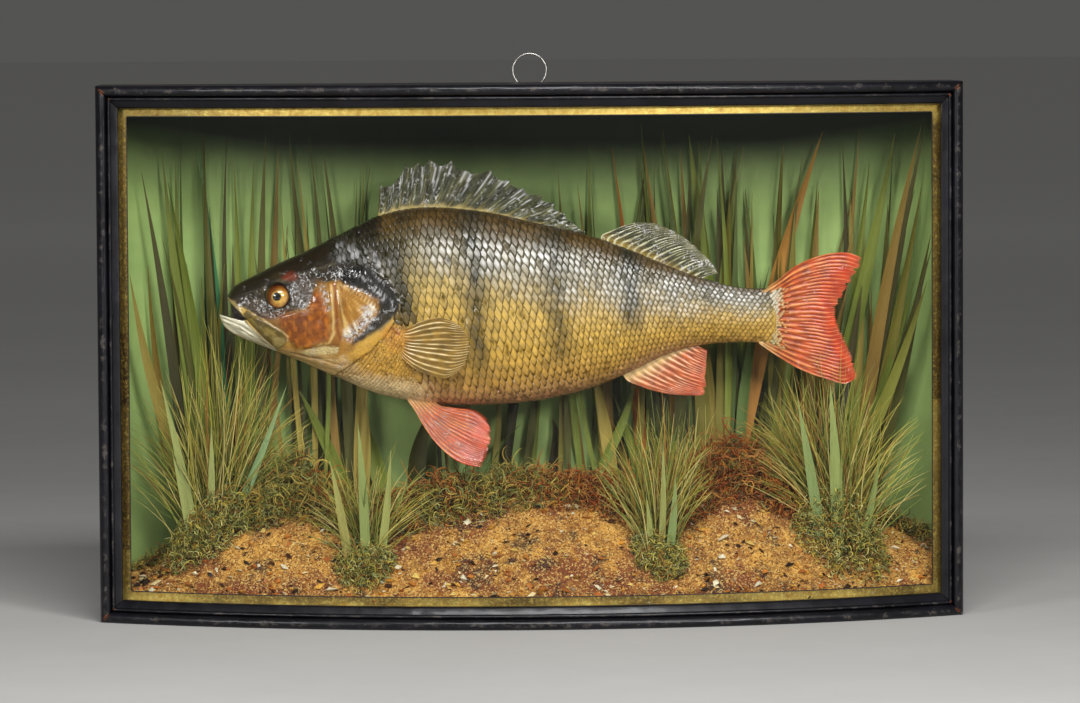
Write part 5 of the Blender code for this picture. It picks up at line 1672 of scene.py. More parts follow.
def relief(x, z, ridge):
    """How far the skin stands out in mm, and how pebbled it is. ridge fades the relief out."""
    height = np.zeros(np.shape(x))
    for outline, rise, soft in PLATES:
        height += rise * plate(x, z, outline, soft)
    for line, sink, wide in FOLDS:
        height -= sink * np.exp(-((line_distance(x, z, line) / wide) ** 2))
    for at_x, at_z, wide in NOSTRILS:
        height -= 0.9 * np.exp(-(((x - at_x) ** 2 + (z - at_z) ** 2) / wide**2))
    behind = behind_gill(x, z)
    swell, groove = 0.5 * np.exp(-((behind / 9) ** 2)), -0.55 * np.exp(-((behind / 2.6) ** 2))
    height += np.where(behind < 0, swell, groove)
    fan = plate(x, z, OPERCLE, 1.2) * smooth_step(np.hypot(x - 69, z - 24), 5, 12)
    height += 0.11 * np.sin(58 * np.arctan2(z - 24, x - 69)) * fan
    flap_lines = np.sin(2.6 * (x * 0.8 + z) + 2 * np.sin(0.5 * x))
    height += 0.05 * flap_lines * plate(x, z, GILL_FLAP, 1.0)
    height += 0.09 * np.sin(1.9 * (z + 0.62 * x)) * plate(x, z, LOWER_JAW, 0.8)
    pebbles = plate(x, z, PEBBLED, 1.6)
    at = xyz(x, 0, z)
    creases = 0.6 - np.abs(ripple(at, 3.6, 83)) - 0.55 * np.abs(ripple(at, 1.9, 84))
    wrinkled = np.maximum(pebbles, 0.35 * plate(x, z, GILL_FLAP, 1.0))
    height += 0.20 * creases * (0.12 + 0.88 * wrinkled) * smooth_step(behind, 0, -2)
    height += 1.1 * np.exp(-(((x - 109.5) / 5) ** 2 + ((z + 11) / 8) ** 2))
    rim = np.hypot(x - EYE_AT[0], z - EYE_AT[2])
    height += 0.55 * np.exp(-(((rim - EYE_SHOWN - 1.0) / 0.75) ** 2))
    height -= 4.2 * smooth_step(rim, EYE_SHOWN + 0.15, EYE_SHOWN - 0.9)
    coated = np.maximum(smooth_step(behind, 0.5, 3.0), smooth_step(x, 66, 74) * smooth_step(z, 36, 41))
    return height * ridge - COAT_DEPTH * coated, pebbles


def outward(points):
    """Unit normals of a closed grid of points that runs from head to tail."""
    along = np.gradient(points, axis=0)
    around = np.roll(points, -1, 1) - np.roll(points, 1, 1)
    normal = np.cross(along, around)
    normal /= np.linalg.norm(normal, axis=-1, keepdims=True) + 1e-9
    middle = points.mean(1, keepdims=True)
    return normal * np.sign((normal * (points - middle)).sum(-1).mean())


print("bones drawn:", len(PLATES), "folds drawn:", len(FOLDS))

# %% [markdown]
# ## Varnished skin
#
# The skin is dried hide, painted and then varnished: a clear even shine over fine pores
# and specks of pigment. `flesh` gives the specks and pores to any painted tint, and the
# skin, the scales and the fleshy parts of the fins all use it.

# %% Varnished skin
FLESH, tree, given, give = new_group(
    "flesh",
    (("Vector", "Vector"), ("Tint", "Color"), ("Speck", "Float", 0.22)),
    (("Color", "Color"), ("Height", "Float")),
)
cloud = tree.spread(tree.noise(given["Vector"], 190.0, 4.0, 0.6), 0.35, 0.65, 0.84, 1.14)
specks = tree.noise(given["Vector"], 1500.0, 2.0, 0.5)
dots = tree.spread(specks, 0.56, 0.66)
grey = tree.add("ShaderNodeCombineColor", {0: cloud, 1: cloud, 2: cloud}).outputs[0]
shaded = tree.mix(1.0, given["Tint"], grey, "MULTIPLY")
dark = tree.mix(1.0, given["Tint"], paint(120, 96, 76), "MULTIPLY")
give("Color", tree.mix(tree.times(dots, given["Speck"]), shaded, dark))
give("Height", tree.plus(tree.noise(given["Vector"], 700.0, 3.0), tree.times(specks, 0.4)))


def varnished(name, speck, coat, coat_roughness, rough, pores, wrinkles=0.0, shine=0.5):
    """A varnished finish over each point's own tint. wrinkles is how deep shrunken skin folds; the crests
    of the folds carry pale flecks of painted glint.
    """
    made, tree, shader = new_finish(name)
    place = tree.place()
    tint = tree.carried("tint", "Color")
    look = tree.group(FLESH, Vector=place, Tint=tint, Speck=speck)
    dull = tree.spread(tree.noise(place, 60.0, 4.0), 0.35, 0.65, rough - 0.06, rough + 0.08)
    height = tree.times(look["Height"], pores)
    colour = look["Color"]
    if wrinkles:
        folds_and_glints = tree.carried("folds_and_glints")
        wide = tree.maths("ABSOLUTE", tree.less(tree.noise(place, 460.0, 3.0, 0.5), 0.5))
        folds = tree.times(tree.less(0.25, wide), wrinkles)
        height = tree.plus(height, tree.times(folds, folds_and_glints))
        crests = tree.spread(wide, 0.034, 0.012)
        chosen = tree.plus(tree.noise(place, 170.0, 4.0, 0.6), tree.times(folds_and_glints, 0.12))
        # Pale flecks on the fold crests are painted glints.
        painted_glint_flecks = tree.times(crests, tree.times(tree.spread(chosen, 0.60, 0.68), tree.spread(folds_and_glints, 0.0, 0.2)))
        colour = tree.mix(tree.times(painted_glint_flecks, 0.85), colour, paint(224, 222, 220))
    feed(tree, shader, Base_Color=colour, Roughness=dull, Normal=tree.bump(height, 1.0),
         Specular_IOR_Level=shine, Coat_Weight=coat, Coat_Roughness=coat_roughness)
    return made


HIDE = varnished("varnished_hide", 0.25, 0.7, 0.06, 0.34, 0.00016, 0.0045, 0.22)
print("finish:", HIDE.name)

# %% [markdown]
# ## One skin
#
# On the mount the head, jaw, gill covers, trunk and tail root are one hide over one
# carved body, so one closed mesh replaces the six solids and no seam shows. Its rings
# run from deep in the mouth, over the lips, along the face and the body to the tail's
# root. The head's rings are the closest, because the eye goes there first.

# %% One skin
TURNS, MOUTH_RINGS, FACE_RINGS, GILL_RINGS, TRUNK_RINGS = 236, 10, 96, 122, 150
GILLS_END = 114.0
turns = np.append(np.linspace(0, 2 * math.pi, TURNS, endpoint=False), 2 * math.pi)
mouth_shares = np.linspace(0.93, 0.06, MOUTH_RINGS)[:, None]
face_shares = (np.arange(FACE_RINGS) / FACE_RINGS)[:, None] ** 1.15
gills_x = np.linspace(FACE_X, GILLS_END, GILL_RINGS, endpoint=False)
body_x = np.concatenate([gills_x, np.linspace(GILLS_END, BODY_END, TRUNK_RINGS)])[:, None]
turns_row = turns[None]
hide = np.concatenate([
    mouth(mouth_shares, turns_row), face(face_shares, turns_row), section(body_x, turns_row),
])
x, z = hide[..., 0], hide[..., 2]
rows, columns = x.shape
ring_number = np.arange(rows)[:, None]
off_ridges = smooth_step(np.abs(np.sin(turns)), 0.02, 0.22)
lift, pebbles = relief(x, z, off_ridges * smooth_step(ring_number, MOUTH_RINGS - 1, MOUTH_RINGS + 3))
tint = fish_tint(x, z)
# Inside the mouth: dark red-brown, partly darkened as painted shade.
tint[:MOUTH_RINGS] = paint(46, 20, 14)
# Painted shade: the skin is darkened where it sinks into folds, grooves and the orbit.
painted_fold_shade = smooth_step(-lift - COAT_DEPTH, -COAT_DEPTH + 0.05, 0.45) * smooth_step(x, 112, 104)
tint = tint * (1 - 0.45 * painted_fold_shade[..., None])
# Where the skin folds and carries painted glints: pebbled parts, gill flap, lower edge and the painted
# highlights.
folds_and_glints = np.maximum(0.85 * pebbles, 0.15 * plate(x, z, GILL_FLAP, 1.0)) + 0.6 * plate(x, z, LIMB, 0.6)
folds_and_glints = folds_and_glints + painted_highlight(x, z) + 0.06
folds_and_glints = folds_and_glints + 0.25 * smooth_step(behind_gill(x, z), -14, -6) * smooth_step(z, -6, -16)
folds_and_glints = np.clip(folds_and_glints, 0, 1.3)
folds_and_glints[:MOUTH_RINGS] = 0
hide = hide + outward(hide) * lift[..., None]
skin_map = np.stack(np.broadcast_arrays(ring_number / (rows - 1), turns / (2 * math.pi)), -1)
first_ring = np.arange(columns - 1)
ends = [first_ring[::-1].tolist(), (first_ring + (rows - 1) * columns).tolist()]
skin = put_mesh(
    "fish_skin", in_case(hide), grid_faces(rows, columns).tolist() + ends, HIDE, smooth=180,
    colour=tint, uv=skin_map, values={"folds_and_glints": folds_and_glints},
)
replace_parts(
    skin, "fish_head", "fish_lower_jaw", "fish_gill_cover_left", "fish_gill_cover_right", "fish_trunk",
    "fish_tail_stalk",
)

# %% [markdown]
# ## Inside the mouth
#
# Between the jaws of a mount one sees the lining of the mouth, and not daylight. Here it
# is a thin wedge on the middle line, from just inside the snout to the mouth's corner,
# joined to the floor of the mouth. It is painted near black: partly the lining's own dark
# red-brown, partly painted shade inside the open mouth.

# %% Inside the mouth
u, v = np.meshgrid(np.linspace(0, 1, 15), np.linspace(0, 1, 11))
upper = np.stack([7.0 + 14 * u, 12.2 - 11.5 * u], -1)
lower = np.stack([8.6 + 12.4 * u, 1.6 - 4.4 * u], -1)
flat = upper + (lower - upper) * v[..., None]
x, z = flat[..., 0], flat[..., 1]
thick = 1.2 + 2.6 * u * (0.6 + 0.4 * np.sin(math.pi * v)) + 0.12 * ripple(xyz(x, 0, z), 2.0, 95)
points, faces = closed_sheet(xyz(x, -thick, z), xyz(x, thick, z))
# Near black: partly the lining's own dark red-brown, partly painted shade inside the mouth.
tint = paint(44, 28, 16) * (1 + 0.3 * ripple(points, 2.5, 96))[:, None]
lining = put_mesh(
    "mouth_lining", in_case(points), turned_round(faces.tolist()), HIDE, smooth=180, colour=tint,
)

# %% [markdown]
# ## The scales
#
# A perch has about sixty rough scales along its side, each a stiff overlapping plate
# whose hind edge lifts a little. They lie in slanting rows that follow the lateral line,
# smaller towards the tail and the breast. Each scale here is a small closed plate on the
# skin. It leans back, is slightly domed, and the upper flank's domes catch the high
# lamp as the real ones do. Their centres there also carry painted highlights.

# %% The scales
# At each x in mm: how far apart scales lie in a row, how far apart the rows are, and by
# what part of a scale each row is shifted against the last.
PITCH = (
    (60, 2.2), (70, 2.4), (95, 2.9), (115, 3.9), (135, 4.25), (185, 4.2), (215, 3.6), (250, 3.2),
    (337, 3.1),
)
ROW_GAP = (
    (60, 4.2), (95, 5.2), (125, 6.1), (170, 6.05), (200, 5.0), (220, 4.2), (246, 3.75), (280, 2.9),
    (310, 2.4), (337, 2.2),
)
ROW_SHIFT = ((60, -0.19), (185, -0.19), (220, -0.16), (246, -0.25), (280, -0.31), (310, -0.47), (337, -0.5))
GIRTH_X = np.linspace(55, 337, 142)
GIRTH_T = np.linspace(0, math.pi, 241)
half_rings = section(GIRTH_X[:, None], GIRTH_T[None])
steps = np.linalg.norm(np.diff(half_rings, axis=1), axis=-1)
ARC = np.concatenate([np.zeros((len(GIRTH_X), 1)), np.cumsum(steps, 1)], 1)


def table(pairs, x):
    xs, ys = np.array(pairs, float).T
    return np.interp(x, xs, ys)


def half_girth(x):
    return np.interp(x, GIRTH_X, ARC[:, -1])


def turn_at(x, arc):
    """The turn at this arc length from the back's ridge, at x."""
    place = np.clip((x - GIRTH_X[0]) / (GIRTH_X[1] - GIRTH_X[0]), 0, len(GIRTH_X) - 1.001)
    i = place.astype(int)
    share = np.clip(arc / half_girth(x), -0.05, 1.05)
    turn_of = []
    for k in (i, i + 1):
        flat = ARC[k] / ARC[k, -1:]
        low_k = np.clip((flat < np.clip(share, 0, 0.9999)[:, None]).sum(1) - 1, 0, len(GIRTH_T) - 2)
        f0, f1 = flat[np.arange(len(k)), low_k], flat[np.arange(len(k)), low_k + 1]
        turn_of.append(GIRTH_T[low_k] + (np.clip(share, 0, 1) - f0) / (f1 - f0) * (GIRTH_T[1] - GIRTH_T[0]))
    f = place - i
    over = np.where(share < 0, share, np.where(share > 1, share - 1, 0)) * math.pi
    return turn_of[0] * (1 - f) + turn_of[1] * f + over


# Where the rows and scales fall on one side: x, arc from the ridge, row gap, pitch.
fine_x = np.linspace(60, 334.5, 2400)
along = np.concatenate([[0], np.cumsum(np.diff(fine_x) / table(PITCH, fine_x[1:]))])
places = []
for row in range(-11, 19):
    count = along - table(ROW_SHIFT, fine_x) * row
    numbers = np.arange(math.ceil(count[0]), math.floor(count[-1]) + 1)
    row_x = np.interp(numbers, count, fine_x)
    gap = table(ROW_GAP, row_x)
    arc = 0.37 * half_girth(row_x) + row * gap
    keep = (arc > 0.25 * gap) & (arc < half_girth(row_x) - 0.2 * gap)
    places.append(np.stack([row_x, arc, gap, table(PITCH, row_x)], -1)[keep])
places = np.concatenate(places)
at = section(places[:, 0], turn_at(places[:, 0], places[:, 1]))
behind = behind_gill(at[:, 0], at[:, 2])
nape = (at[:, 2] > 37) & (at[:, 0] > 66 + 0.5 * np.maximum(0, 50 - at[:, 2]))
in_breast = ((places[:, 0] < 120) & (at[:, 2] < -16)) | ((places[:, 0] < 113) & (at[:, 2] < 1))
places = places[((behind > 1.0) | nape) & ~in_breast]
breast = []
for row in range(48):
    breast_x = np.arange(62, 121, 2.0) + (row % 2) * 1.0
    arc = half_girth(breast_x) - 0.9 - row * 1.9
    breast.append(np.stack([breast_x, arc, 0 * arc + 1.9, 0 * arc + 2.0], -1))
breast = np.concatenate(breast)
at = section(breast[:, 0], turn_at(breast[:, 0], breast[:, 1]))
keep = (behind_gill(at[:, 0], at[:, 2]) > 0.8) & (at[:, 2] < np.where(at[:, 0] < 113, 1, -15))
breast = breast[keep]
print("scales on one side:", len(places), "and fine ones on the breast:", len(breast))

# %% [markdown]
# ## Laying the scales
#
# One plate is laid out flat first: a rounded diamond with a dome, a raised hind edge and
# a thin rim, closed underneath. Each copy is then bent onto the body by measuring its
# points along the flank and round the girth, and takes its paint from `fish_tint` at its
# root, a little darker towards its rim: partly the scale's own dark edge, partly painted
# shade where the plates overlap. In the band of painted highlight its centre is painted
# near white and its rim a little darker. Its patch on the map lies at its root's place on
# the skin's own unwrap.

# %% Laying the scales
SPOKES = 12
spoke = 2 * math.pi * np.arange(SPOKES) / SPOKES
# Flat plate, from -1 to 1 both ways: centre, two rings, rim below, centre below.
ring_a, ring_b = (np.sign(wave) * np.abs(wave) ** 1.55 for wave in (np.cos(spoke), np.sin(spoke)))
flat_a = np.concatenate([[0], 0.55 * ring_a, ring_a, 0.97 * ring_a, [0]])
flat_b = np.concatenate([[0], 0.55 * ring_b, ring_b, 0.97 * ring_b, [0]])
reach = np.concatenate([[0], np.full(SPOKES, 0.55), np.full(2 * SPOKES, 1.0), [0]])
below = np.concatenate([np.zeros(1 + 2 * SPOKES), np.ones(SPOKES + 1)])
PLATE_POINTS = len(flat_a)
next_spoke = (np.arange(SPOKES) + 1) % SPOKES
plate_faces = []
for k, n in zip(range(SPOKES), next_spoke.tolist()):
    plate_faces.append([0, 1 + k, 1 + n])
    for ring in range(2):
        start = 1 + ring * SPOKES
        plate_faces.append([start + k, start + SPOKES + k, start + SPOKES + n, start + n])
    plate_faces.append([1 + 2 * SPOKES + k, PLATE_POINTS - 1, 1 + 2 * SPOKES + n])
SCALE_RISE, SCALE_DOME, SCALE_RIM = 0.55, 0.16, 0.13


def lay_scales(name, rows, side, seed):
    """One joined mesh of scales. side is -1 for the left flank and 1 for the right."""
    draw = np.random.default_rng(seed)
    root_x, arc, gap, pitch = rows.T[:, :, None]
    count = len(rows)
    root_x = root_x + 0.05 * pitch * draw.standard_normal((count, 1))
    lean = (0.5 + table(ROW_SHIFT, root_x)) * pitch / gap
    size = 1 + 0.05 * draw.standard_normal((count, 1))
    uneven = 0.22 * draw.standard_normal((2, count, 1))
    a, b = (np.where(reach == 0, shift, flat) for shift, flat in zip(uneven, (flat_a, flat_b)))
    down = 0.96 * gap * size * b
    back = np.where(flat_a > 0, 0.60, 1.10) * pitch * size * a + lean * down
    small = np.minimum(pitch / 3.6, 1.0)
    rise = SCALE_RISE * small * (0.64 + np.where(flat_a > 0, 0.36, 0.64) * flat_a)
    rise = rise + SCALE_DOME * small * (1 - flat_b**2) * (1 - 0.5 * reach**2)
    rise = rise + 0.04 * draw.standard_normal((count, 1)) * flat_a
    rise = rise - below * (SCALE_RIM + 0.25 * (1 - reach)) * small
    x = np.clip(root_x + back, 56, 336.5)
    turn = turn_at(x.ravel(), (arc + down).ravel()).reshape(x.shape)
    points = section(x, turn)
    e = 0.02
    normal = np.cross(section(x, turn + e) - section(x, turn - e),
                      section(x + e, turn) - section(x - e, turn))
    normal /= np.linalg.norm(normal, axis=-1, keepdims=True)
    normal *= np.sign((normal * (points * [0, 1, 1] - [0, 0, 8.0])).sum(-1))[..., None]
    lift, _ = relief(x, points[..., 2], smooth_step(np.abs(np.sin(turn)), 0.02, 0.22))
    points = points + normal * (lift + rise)[..., None]
    points[..., 1] *= side
    at_x, at_z = points[:, :1, 0], points[:, :1, 2]
    # How much painted highlight lies on each scale: the flank's band and the head's painted highlights,
    # less on the bars.
    sheen_share = np.clip(painted_sheen(at_x, at_z) + 0.8 * painted_highlight(at_x, at_z), 0, 1) * (1 - 0.5 * barred(at_x, at_z))
    # Darker towards the rim and darkest under it: partly the scale's own dark edge, partly painted shade
    # where the plates overlap.
    edge = np.where(reach > 0.9, np.where(below > 0, 0.25, 0.46), np.where(reach > 0.3, 0.90, 1.12))
    varied = 1 + 0.08 * draw.standard_normal((count, 1, 1))
    tint = fish_tint(at_x, at_z, 0.0) * varied * edge[None, :, None]
    # In the painted highlight band the outer rings are painted darker, so the painted glint at the centre
    # stands out.
    tint = np.clip(tint * (1 - 0.25 * sheen_share * (reach > 0.3))[..., None], 0, 1)
    tint = blend(tint, BAR_TINT, barred(points[..., 0], points[..., 2]) * (1 - 0.2 * sheen_share))
    # Painted glint: the centre of each scale in the band is painted near white.
    painted_glint = sheen_share * np.clip(0.64 + 0.34 * draw.standard_normal((count, 1)), 0, 1.0)
    painted_glint = painted_glint * np.where(reach > 0.3, 0.14, 1.0) * (below == 0) * (reach < 0.9)
    tint = blend(tint, (244, 244, 242), np.clip(painted_glint, 0, 0.92))
    over = np.stack([points[:, 0, 0] / BODY_END, turn[:, 0] / (2 * math.pi)], -1)
    patch = over[:, None] + 0.0015 * np.stack([flat_a, flat_b], -1)[None]
    faces = repeated(plate_faces if side > 0 else turned_round(plate_faces), count, PLATE_POINTS)
    coat = put_mesh(name, in_case(points), faces, SCALE_FINISH, smooth=180, colour=tint, uv=patch)


SCALE_FINISH = varnished("varnished_scales", 0.12, 0.55, 0.16, 0.36, 0.00012, shine=0.35)
lay_scales("scales_left", np.concatenate([places, breast]), -1, 91)
lay_scales("scales_right", np.concatenate([places, breast]), 1, 92)

# %% [markdown]
# ## Glass eyes
#
# The eyes are blown glass: a black pupil a little forward of the middle, an iris of
# brassy gold streaks and a dark rim under a clear, very smooth front. Each point knows
# how far it is from the pupil and on which spoke it lies, and the colours follow that.
# The iris is painted browner on its upper left, as painted shade, and paler on its right,
# as painted light.

# %% Glass eyes
glass_eye, tree, shader = new_finish("glass_eye")
ring = tree.carried("ring")
around = tree.carried("around")
spoke_at = {0: tree.times(around, 26.0), 1: tree.times(ring, 1.6)}
spokes = tree.add("ShaderNodeCombineXYZ", spoke_at).outputs[0]
streaks = tree.spread(tree.noise(spokes, 1.0, 3.0, 0.6), 0.34, 0.66)
cloudy = tree.spread(tree.noise(tree.place(), 420.0, 3.0), 0.36, 0.64)
wobble = tree.plus(ring, tree.times(tree.less(streaks, 0.5), 0.16))
IRIS = (
    (0.0, paint(5, 5, 5)), (0.243, paint(7, 6, 5)), (0.262, paint(206, 160, 60)),
    (0.36, paint(226, 182, 78)),
    (0.48, paint(204, 146, 46)), (0.58, paint(168, 108, 30)), (0.66, paint(112, 64, 20)),
    (0.76, paint(30, 18, 10)),
)
shade = tree.ramp(tree.maths("DIVIDE", wobble, 10.0), IRIS)
lit = tree.mix(tree.times(streaks, 0.5), shade, paint(232, 190, 92), "SOFT_LIGHT")
# Painted light and shade across the iris: brown on the upper left, pale on the right.
side_lit = tree.carried("painted_light_side")
painted_shade_left = tree.mix(tree.spread(side_lit, 0.15, -0.75, 0.0, 0.9), lit, paint(112, 54, 8), "MULTIPLY")
painted_light_right = tree.times(tree.spread(side_lit, 0.15, 0.6), tree.spread(ring, 7.2, 5.8, 0.0, 0.5))
paled = tree.mix(painted_light_right, painted_shade_left, paint(244, 204, 116))
whole = tree.mix(tree.spread(ring, 3.3, 2.9), paled, shade)
deep = tree.mix(tree.times(cloudy, 0.35), whole, paint(120, 78, 26), "MULTIPLY")
feed(tree, shader, Base_Color=deep, Roughness=0.25, Coat_Weight=1.0, Coat_Roughness=0.02)

BALL_RINGS, BALL_SIDES, PUPIL_AT = 64, 96, (1.2, 0.5)


def glass_ball(name, side):
    """A ball whose poles face outwards, so that its rings lie round the pupil."""
    polar = np.linspace(0.02, math.pi - 0.02, BALL_RINGS)[:, None]
    round_ = np.linspace(0, 2 * math.pi, BALL_SIDES, endpoint=False)
    flat = EYE_R * np.sin(polar)
    x, z = EYE_AT[0] + flat * np.cos(round_), EYE_AT[2] + flat * np.sin(round_)
    y = side * (EYE_AT[1] + EYE_R * np.cos(polar))
    across, up = x - EYE_AT[0] + PUPIL_AT[0], z - EYE_AT[2] - PUPIL_AT[1]
    far, turn = np.hypot(across, up), np.arctan2(up, across)
    faces = tube_faces(BALL_RINGS, BALL_SIDES)
    if side < 0:
        faces = turned_round(faces)
    # Which side of the eye the painted light falls on.
    painted_light_side = (x - EYE_AT[0] - 0.5 * (z - EYE_AT[2])) / EYE_SHOWN
    values = {"ring": far, "around": np.abs(turn), "painted_light_side": painted_light_side}
    ball = put_mesh(name, in_case(xyz(x, y, z)), faces, glass_eye, smooth=180, values=values)
    return ball


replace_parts(glass_ball("eye_left", -1), "fish_eye_left")
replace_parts(glass_ball("eye_right", 1), "fish_eye_right")

# %% [markdown]
# ## Fins
#
# A dried fin is a thin web stretched over bony rays. Each fin here is a patch hung
# between four edges: its base, its first ray, its free edge and its last ray. The rays
# stand out as ridges that fork towards the free edge, the web sinks between them, and
# the free edge is notched and frayed where it has dried and split.

# %% How a fin is shaped
def along_line(points, share):
    """A point at this share of the length of a bent line, rounded at its corners."""
    points = np.array(points, float)
    length = np.concatenate([[0], np.cumsum(np.linalg.norm(np.diff(points, axis=0), axis=1))])
    length /= length[-1]
    if len(points) == 2:
        return points[0] + (points[1] - points[0]) * np.asarray(share)[..., None]
    return np.stack([curve_through(np.stack([length, points[:, k]], -1))(share) for k in range(2)], -1)


def hung_patch(base, first, edge, last, u, v):
    """A point of the patch between four edges. u runs along the base and v along the rays."""
    u, v = u[..., None], v[..., None]
    b0, b1, e0, e1 = (np.array(p, float) for p in (base[0], base[-1], edge[0], edge[-1]))
    sides = (1 - v) * along_line(base, u[..., 0]) + v * along_line(edge, u[..., 0])
    sides = sides + (1 - u) * along_line(first, v[..., 0]) + u * along_line(last, v[..., 0])
    return sides - (1 - u) * (1 - v) * b0 - u * (1 - v) * b1 - (1 - u) * v * e0 - u * v * e1


def ray_ridges(u, v, rays, fork):
    """1 on a ray, 0 between two. Each ray forks into two, then four, towards the edge."""
    total = 0
    for split, (start, end) in enumerate(((-1, -0.5), (fork, fork + 0.25), (fork + 0.34, fork + 0.6))):
        wave = 0.5 + 0.5 * np.cos(2 * math.pi * u * rays * 2**split)
        share = smooth_step(v, start, end)
        total = total * (1 - share) + share * wave
    return total


def make_fin(edges, rays, stand, thick, tints, seed, fork, pale_rays, sharp, rows=44, wave=0.5):
    """A fin from its four edges. stand gives y, thick half its depth at base and edge, and
    tints its paint at the base, on the web, on the rays and at the edge."""
    draw = np.random.default_rng(seed)
    per_ray, notch = 12, 0.03
    columns = rays * per_ray + 1
    u, v = np.meshgrid(np.linspace(0, 1, columns), np.linspace(0, 1, rows))
    wander = 0.16 * ripple(xyz(u * rays, 0, v * 1.5), 3.1, seed + 5) / rays
    ridges = ray_ridges(u + wander * smooth_step(v, 0, 0.3), v, rays, fork) ** sharp
    along_base = xyz(u * rays, 0, 0)
    frayed = ripple(along_base, 0.9, seed) + 0.5 * ripple(along_base, 0.31, seed + 1)
    reach = v * (1 - notch * (1 - ridges[-1:]) * v**3 - notch * 0.6 * np.maximum(0, frayed) * v**3)
    flat = hung_patch(*edges, u, reach)
    x, z = flat[..., 0], flat[..., 1]
    at = xyz(x, 0, z)
    curl = 0.6 * np.sin(2.2 * math.pi * u + seed) + 0.5 * np.sin(5.1 * math.pi * u + 3 * v)
    middle = stand(x, z) + wave * smooth_step(v, 0.1, 1.0) * curl
    base_thick, edge_thick = thick
    carved = smooth_step(v, 0.0, 0.22)
    depth = (base_thick + (edge_thick - base_thick) * v**0.6) * (1 - 0.60 * carved * (1 - ridges))
    depth = depth + 0.03 * ripple(at, 2.2, seed + 2) * v
    base_tint, web_tint, ray_tint, edge_tint = tints
    colour = blend(paint(*base_tint), web_tint, smooth_step(v, 0.0, 0.34))
    colour = blend(colour, edge_tint, smooth_step(v, 0.55, 1.0))
    colour = colour * (1 + 0.16 * ripple(at, 9.0, seed + 3))[..., None]
    each = draw.random(rays)[np.minimum(np.arange(columns) // per_ray, rays - 1)]
    worn = 0.75 + 0.5 * ripple(at, 6.0, seed + 6)
    pale = ridges**2 * pale_rays * (1 - 0.45 * v) * (0.45 + 0.55 * each) * np.clip(worn, 0.2, 1.2)
    colour = blend(colour, ray_tint, np.clip(pale, 0, 1))
    # The web is darker between the rays where it sinks: partly its own darker tone, partly painted shade in
    # the grooves.
    web_tone_and_groove_shade = 0.52 + 0.48 * smooth_step(ridges, 0.0, 0.35)
    colour = colour * (1 + (web_tone_and_groove_shade - 1) * smooth_step(v, 0.02, 0.2))[..., None]
    points, faces = closed_sheet(xyz(x, middle - depth, z), xyz(x, middle + depth, z))
    return points, faces, np.clip(np.concatenate([colour.reshape(-1, 3)] * 2), 0, 1)


def outward_faces(points, faces):
    """The faces, all turned round if they enclose a negative volume."""
    triangles = points[np.array([face[:3] for face in faces])]
    return faces if np.linalg.det(triangles).sum() > 0 else turned_round(faces)


def put_fin(name, parts, finish, folds_and_glints=0.0):
    """One piece from several closed parts in fish millimetres."""
    points = np.concatenate([in_case(part[0]) for part in parts])
    faces, start = [], 0
    for part_points, part_faces, _ in parts:
        turned = outward_faces(part_points - part_points.mean(0), [list(face) for face in part_faces])
        faces += [[i + start for i in face] for face in turned]
        start += len(part_points)
    colour = np.concatenate([part[2] for part in parts])
    values = {"folds_and_glints": np.full(len(points), folds_and_glints)}
    fin = put_mesh(name, points, faces, finish, smooth=60, colour=colour, values=values)
    print(name, "faces:", len(faces))
    return fin

# %% [markdown]
# ## The seven webbed fins
#
# Perch fins are red below and behind, olive grey on the back and clear amber behind the
# gills. The edges are measured in fish millimetres. The paired fins stand away from the
# body, and the tail and the two single fins lie in its middle plane.

# %% The seven webbed fins
RED_FIN = varnished("red_fin_web", 0.3, 0.45, 0.14, 0.42, 0.00012, 0.0012, 0.3)
GREY_FIN = varnished("grey_fin_web", 0.3, 0.8, 0.08, 0.30, 0.00025, 0.0035, 0.35)
AMBER_FIN = varnished("amber_fin_web", 0.2, 0.5, 0.14, 0.38, 0.00012, 0.0012, 0.3)
RED = ((198, 160, 92), (188, 76, 24), (252, 178, 104), (196, 50, 6))

SOFT_DORSAL = (
    ((231.5, 46.5), (245, 42), (262, 35.5), (278, 29), (290, 24.5)),
    ((231.5, 46.5), (232, 51.5), (236.3, 53.6), (243, 56.5), (250.3, 58.7), (258.2, 59.3), (266.7, 58.4)),
    ((266.7, 58.4), (280.6, 51.6), (292, 41.9), (299.3, 34.1), (302.5, 28.8)),
    ((290, 24.5), (296, 27.2), (302.5, 28.8)),
)
ANAL = (
    ((243.6, -31.5), (258, -24.5), (273, -18), (288, -14.5)),
    ((243.6, -31.5), (246, -35.6), (254.7, -39.8), (269.3, -44.3), (285, -45.8)),
    ((285, -45.8), (293.4, -45.2), (294.9, -31.6), (295.5, -18.4)),
    ((288, -14.5), (295.5, -18.4)),
)
CAUDAL = (
    ((327, 16.5), (325, 8), (324.5, 1), (325, -6), (327, -14)),
    ((327, 16.5), (338.8, 25), (349.2, 33.3), (362.5, 39), (372.3, 41.2), (382, 41), (389.3, 38.2)),
    ((389.3, 38.2), (388.1, 31.7), (382, 22), (377.1, 13.5), (373.4, 4.9), (375.2, -3), (378.9, -11),
     (384.9, -26), (386.7, -34)),
    ((327, -14), (338, -21.5), (352, -29.6), (369, -35.6), (379, -38), (386.7, -34)),
)
PELVIC = (
    ((114, -42), (119, -44), (125, -45)),
    ((114, -42), (113.3, -46.5), (117.5, -53.4), (123.5, -63.7), (133, -75.9), (145.2, -85),
     (157.9, -88.1)),
    ((157.9, -88.1), (162.2, -79), (164.4, -67.4), (162.3, -60.7)),
    ((125, -45), (134, -51.5), (142.4, -52.8), (153.3, -54.6), (162.3, -60.7)),
)
